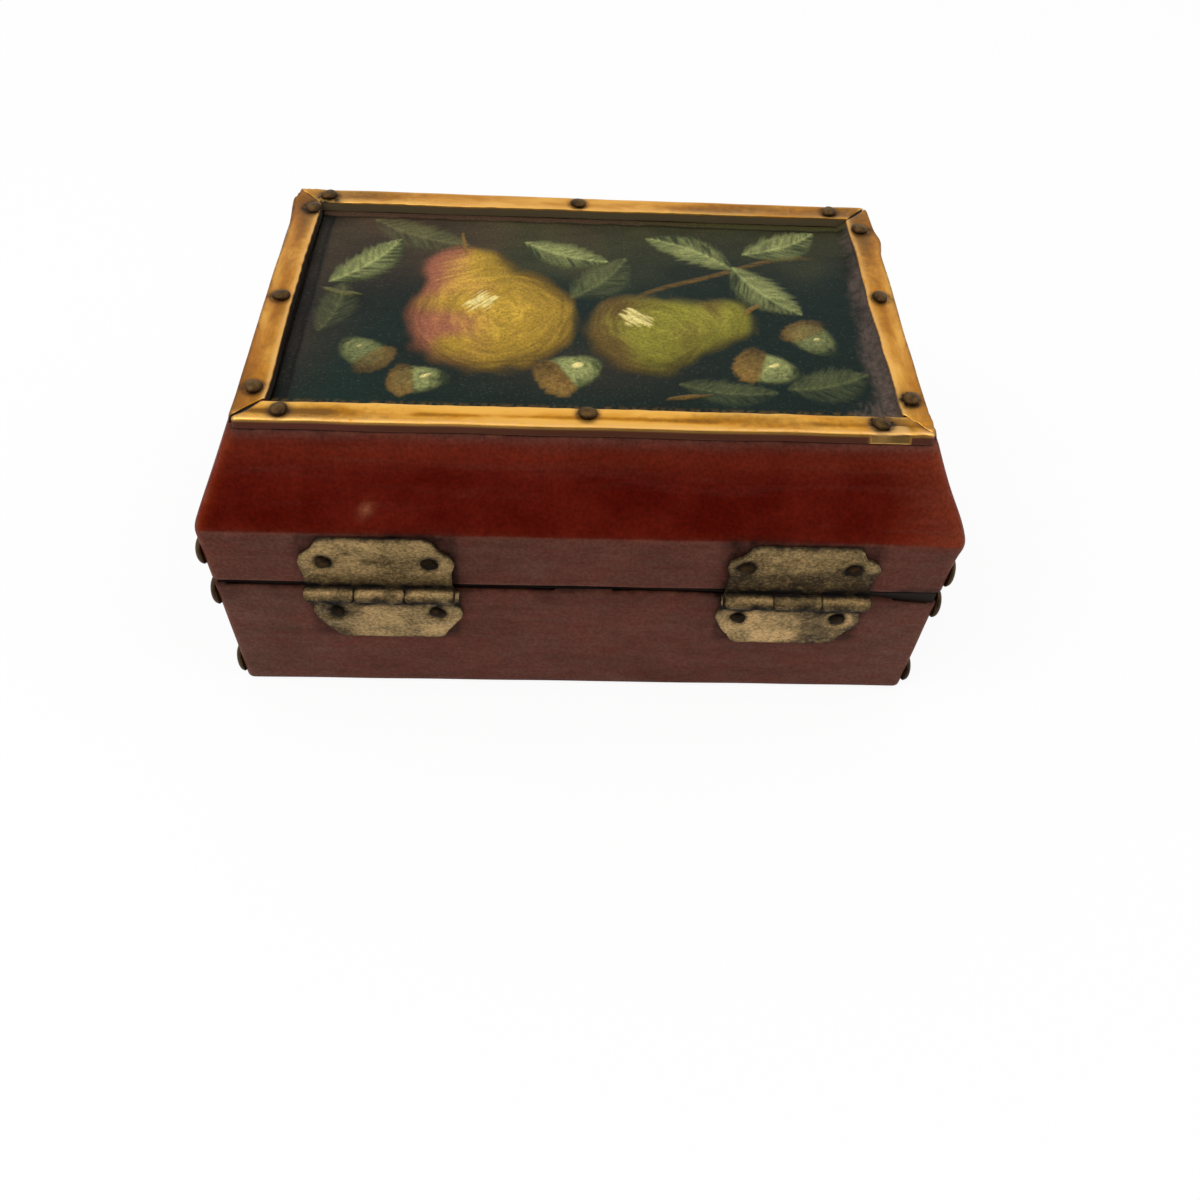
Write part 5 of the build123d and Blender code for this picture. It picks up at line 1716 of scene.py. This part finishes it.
class TRINKET_OT_catch(bpy.types.Operator):
    """Makes the hook, its peg and their plates"""

    bl_idname = "trinket.catch"
    bl_label = "Hook and peg"

    def execute(self, context):
        box = context.scene.trinket_box
        brass = bpy.data.materials.get("grimy_pressed_brass") or old_brass_material(box.hinges)
        iron = bpy.data.materials.get("browned_tack_iron") or nail_material(box.nails)
        worn_copy("latch_hook", "swing_hook", "hook", brass, 0.22)
        worn_copy("hook_plate", "pivot_plate", "base", brass, 0.15)
        worn_copy("peg_plate", "catch_plate", "lid", brass, 0.15)
        front = np.array([0.0, -1.0, 0.0])
        for node, name, body, head, shank in (
            ("hook_pivot", "pivot_stud", "base", 2.3, 1.2),
            ("peg", "peg_stud", "lid", 2.0, 1.1),
        ):
            low, high = node_box(node)
            seat = low[1] + 0.9
            spot = np.array([0.0, seat, (low[2] + high[2]) / 2])
            profile = nail_profile(head, 0.9, shank, high[1] - seat)
            points, faces = lathe(profile, [(spot, front)], 3, 0.01, 0.0)
            grime_and_shade = np.tile(bump(profile[:, 0] - head, 0.5), NAIL_STEPS)
            piece(name, body, brass, points, faces, [node], {"grime_and_shade": grime_and_shade})
        for node, body in (("hook_plate_nails", "base"), ("peg_plate_nails", "lid")):
            low, high = node_box(node)
            middle = (low[0] + high[0]) / 2
            spots = [
                (np.array([middle, low[1] + 0.6, height]), front) for height in (low[2] + 1.3, high[2] - 1.3)
            ]
            nails(f"{node}_heads", body, iron, node, 1.3, 0.6, 0.6, 4.9, spots, 6)
        return {"FINISHED"}


class TRINKET_OT_boards(bpy.types.Operator):
    """Stains the boards and the fillets under the brass"""

    bl_idname = "trinket.boards"
    bl_label = "Boards"

    def execute(self, context):
        material = wood_material(context.scene.trinket_box.boards)
        for name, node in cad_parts.items():
            if name.endswith("_board") or name.startswith("frame_fillet"):
                node.data.materials.clear()
                node.data.materials.append(material)
        return {"FINISHED"}


def sheet(name, corners, material):
    """A flat sheet of the stage, with its corners in metres."""
    mesh = bpy.data.meshes.new(name)
    mesh.from_pydata(corners, [], [(0, 1, 2, 3)])
    mesh.materials.append(material)
    made = bpy.data.objects.new(name, mesh)
    bpy.context.collection.objects.link(made)
    return made


def seen_rays(tree):
    """1 for rays from the camera, and for reflected and refracted ones, and 0 for the light."""
    camera = add_node(tree, "LightPath", output="Is Camera Ray")
    glossy, through = (camera.node.outputs[name] for name in ("Is Glossy Ray", "Is Transmission Ray"))
    seen = add_node(tree, "Math", LARGER, {0: camera, 1: glossy})
    return add_node(tree, "Math", LARGER, {0: seen, 1: through})


class TRINKET_OT_stage(bpy.types.Operator):
    """Sets the floor, the lamps and the camera"""

    bl_idname = "trinket.stage"
    bl_label = "Stage"

    def execute(self, context):
        stage = context.scene.trinket_box.stage
        material, tree = new_material("pale_floor")
        paint = add_node(tree, "BsdfDiffuse", None, {"Color": stage.floor[:]})
        white = add_node(tree, "Emission", None, {"Color": (1, 1, 1, 1), "Strength": 1.0})
        # White to the camera and in reflections, with part of the real floor left for the shadow
        share = add_node(tree, "Math", TIMES, {0: seen_rays(tree), 1: 0.9})
        both = add_node(tree, "MixShader", None, {0: share, 1: paint, 2: white})
        add_node(tree, "OutputMaterial", None, {"Surface": both})
        size, level = 12.0, -0.0002
        corners = [(-size, -size, level), (size, -size, level), (size, size, level), (-size, size, level)]
        floor = sheet("floor", corners, material)

        # A black card that leans back behind the camera keeps the rear slope from going milky
        felt, tree = new_material("black_card")
        black = add_node(tree, "BsdfDiffuse", None, {"Color": (0.01, 0.01, 0.01, 1)})
        add_node(tree, "OutputMaterial", None, {"Surface": black})
        card = sheet("black_card", [(-2, 0.34, 0.001), (2, 0.34, 0.001), (2, 1.4, 2.2), (-2, 1.4, 2.2)], felt)
        card.visible_camera = card.visible_diffuse = card.visible_shadow = False

        for name, place, watts, width in (
            ("key", (0.55, 0.3, 0.8), stage.key, 0.7),
            ("fill", (-0.6, 0.1, 0.75), stage.fill, 0.7),
        ):
            lamp = bpy.data.lights.new(name, "AREA")
            lamp.energy = watts
            lamp.size = width
            lamp_object = bpy.data.objects.new(name, lamp)
            lamp_object.location = place
            lamp_object.rotation_euler = (-Vector(place)).to_track_quat("-Z", "Y").to_euler()
            context.collection.objects.link(lamp_object)

        world = bpy.data.worlds.new("even_air")
        context.scene.world = world
        world.use_nodes = True
        tree = world.node_tree
        tree.nodes.clear()
        strength = add_node(
            tree, "MapRange", None, {"Value": seen_rays(tree), "To Min": stage.air, "To Max": 1.0}
        )
        air = add_node(tree, "Background", None, {"Color": (1, 1, 1, 1), "Strength": strength})
        add_node(tree, "OutputWorld", None, {"Surface": air})

        yaw, pitch, roll = np.radians([stage.yaw, stage.pitch, stage.roll])
        look = np.array([np.sin(yaw) * np.cos(pitch), -np.cos(yaw) * np.cos(pitch), -np.sin(pitch)])
        right = np.array([-np.cos(yaw), -np.sin(yaw), 0.0])
        up = np.cross(right, look)
        right, up = np.cos(roll) * right + np.sin(roll) * up, -np.sin(roll) * right + np.cos(roll) * up
        camera = bpy.data.cameras.new("camera")
        camera.lens = stage.lens
        camera.sensor_width = 36.0
        camera.clip_start = 0.01
        eye = bpy.data.objects.new("camera", camera)
        turn = Matrix([(right[k], up[k], -look[k]) for k in range(3)]).to_4x4()
        eye.matrix_world = Matrix.Translation(stage.eye) @ turn
        context.collection.objects.link(eye)
        context.scene.camera = eye
        context.scene.view_settings.view_transform = "Standard"
        return {"FINISHED"}


STEPS = (
    TRINKET_OT_boards,
    TRINKET_OT_leather,
    TRINKET_OT_strips,
    TRINKET_OT_nails,
    TRINKET_OT_hinges,
    TRINKET_OT_panel,
    TRINKET_OT_lining,
    TRINKET_OT_catch,
    TRINKET_OT_stage,
)


class TRINKET_PT_box(bpy.types.Panel):
    """Lists the settings and the steps"""

    bl_idname = "TRINKET_PT_box"
    bl_label = "Trinket Box"
    bl_space_type = "VIEW_3D"
    bl_region_type = "UI"
    bl_category = "Trinket Box"

    def draw(self, context):
        box = context.scene.trinket_box
        for group in ("leather", "brass", "hinges", "nails", "panel", "lining", "boards", "stage"):
            column = self.layout.box().column()
            column.label(text=group.capitalize())
            settings = getattr(box, group)
            for name in settings.__annotations__:
                column.prop(settings, name)
        for operator in STEPS:
            self.layout.operator(operator.bl_idname)


CLASSES = (
    LeatherSettings,
    BrassSettings,
    HingeSettings,
    NailSettings,
    PanelSettings,
    LiningSettings,
    BoardSettings,
    StageSettings,
    BoxSettings,
    *STEPS,
    TRINKET_PT_box,
)


def register():
    for kind in CLASSES:
        bpy.utils.register_class(kind)
    bpy.types.Scene.trinket_box = PointerProperty(type=BoxSettings)


def unregister():
    del bpy.types.Scene.trinket_box
    for kind in reversed(CLASSES):
        bpy.utils.unregister_class(kind)


def main():
    """Makes the whole box."""
    register()
    bpy.ops.trinket.boards()
    bpy.ops.trinket.leather()
    bpy.ops.trinket.strips()
    bpy.ops.trinket.nails()
    bpy.ops.trinket.hinges()
    bpy.ops.trinket.panel()
    bpy.ops.trinket.lining()
    bpy.ops.trinket.catch()
    bpy.ops.trinket.stage()


if __name__ == "__main__":
    main()
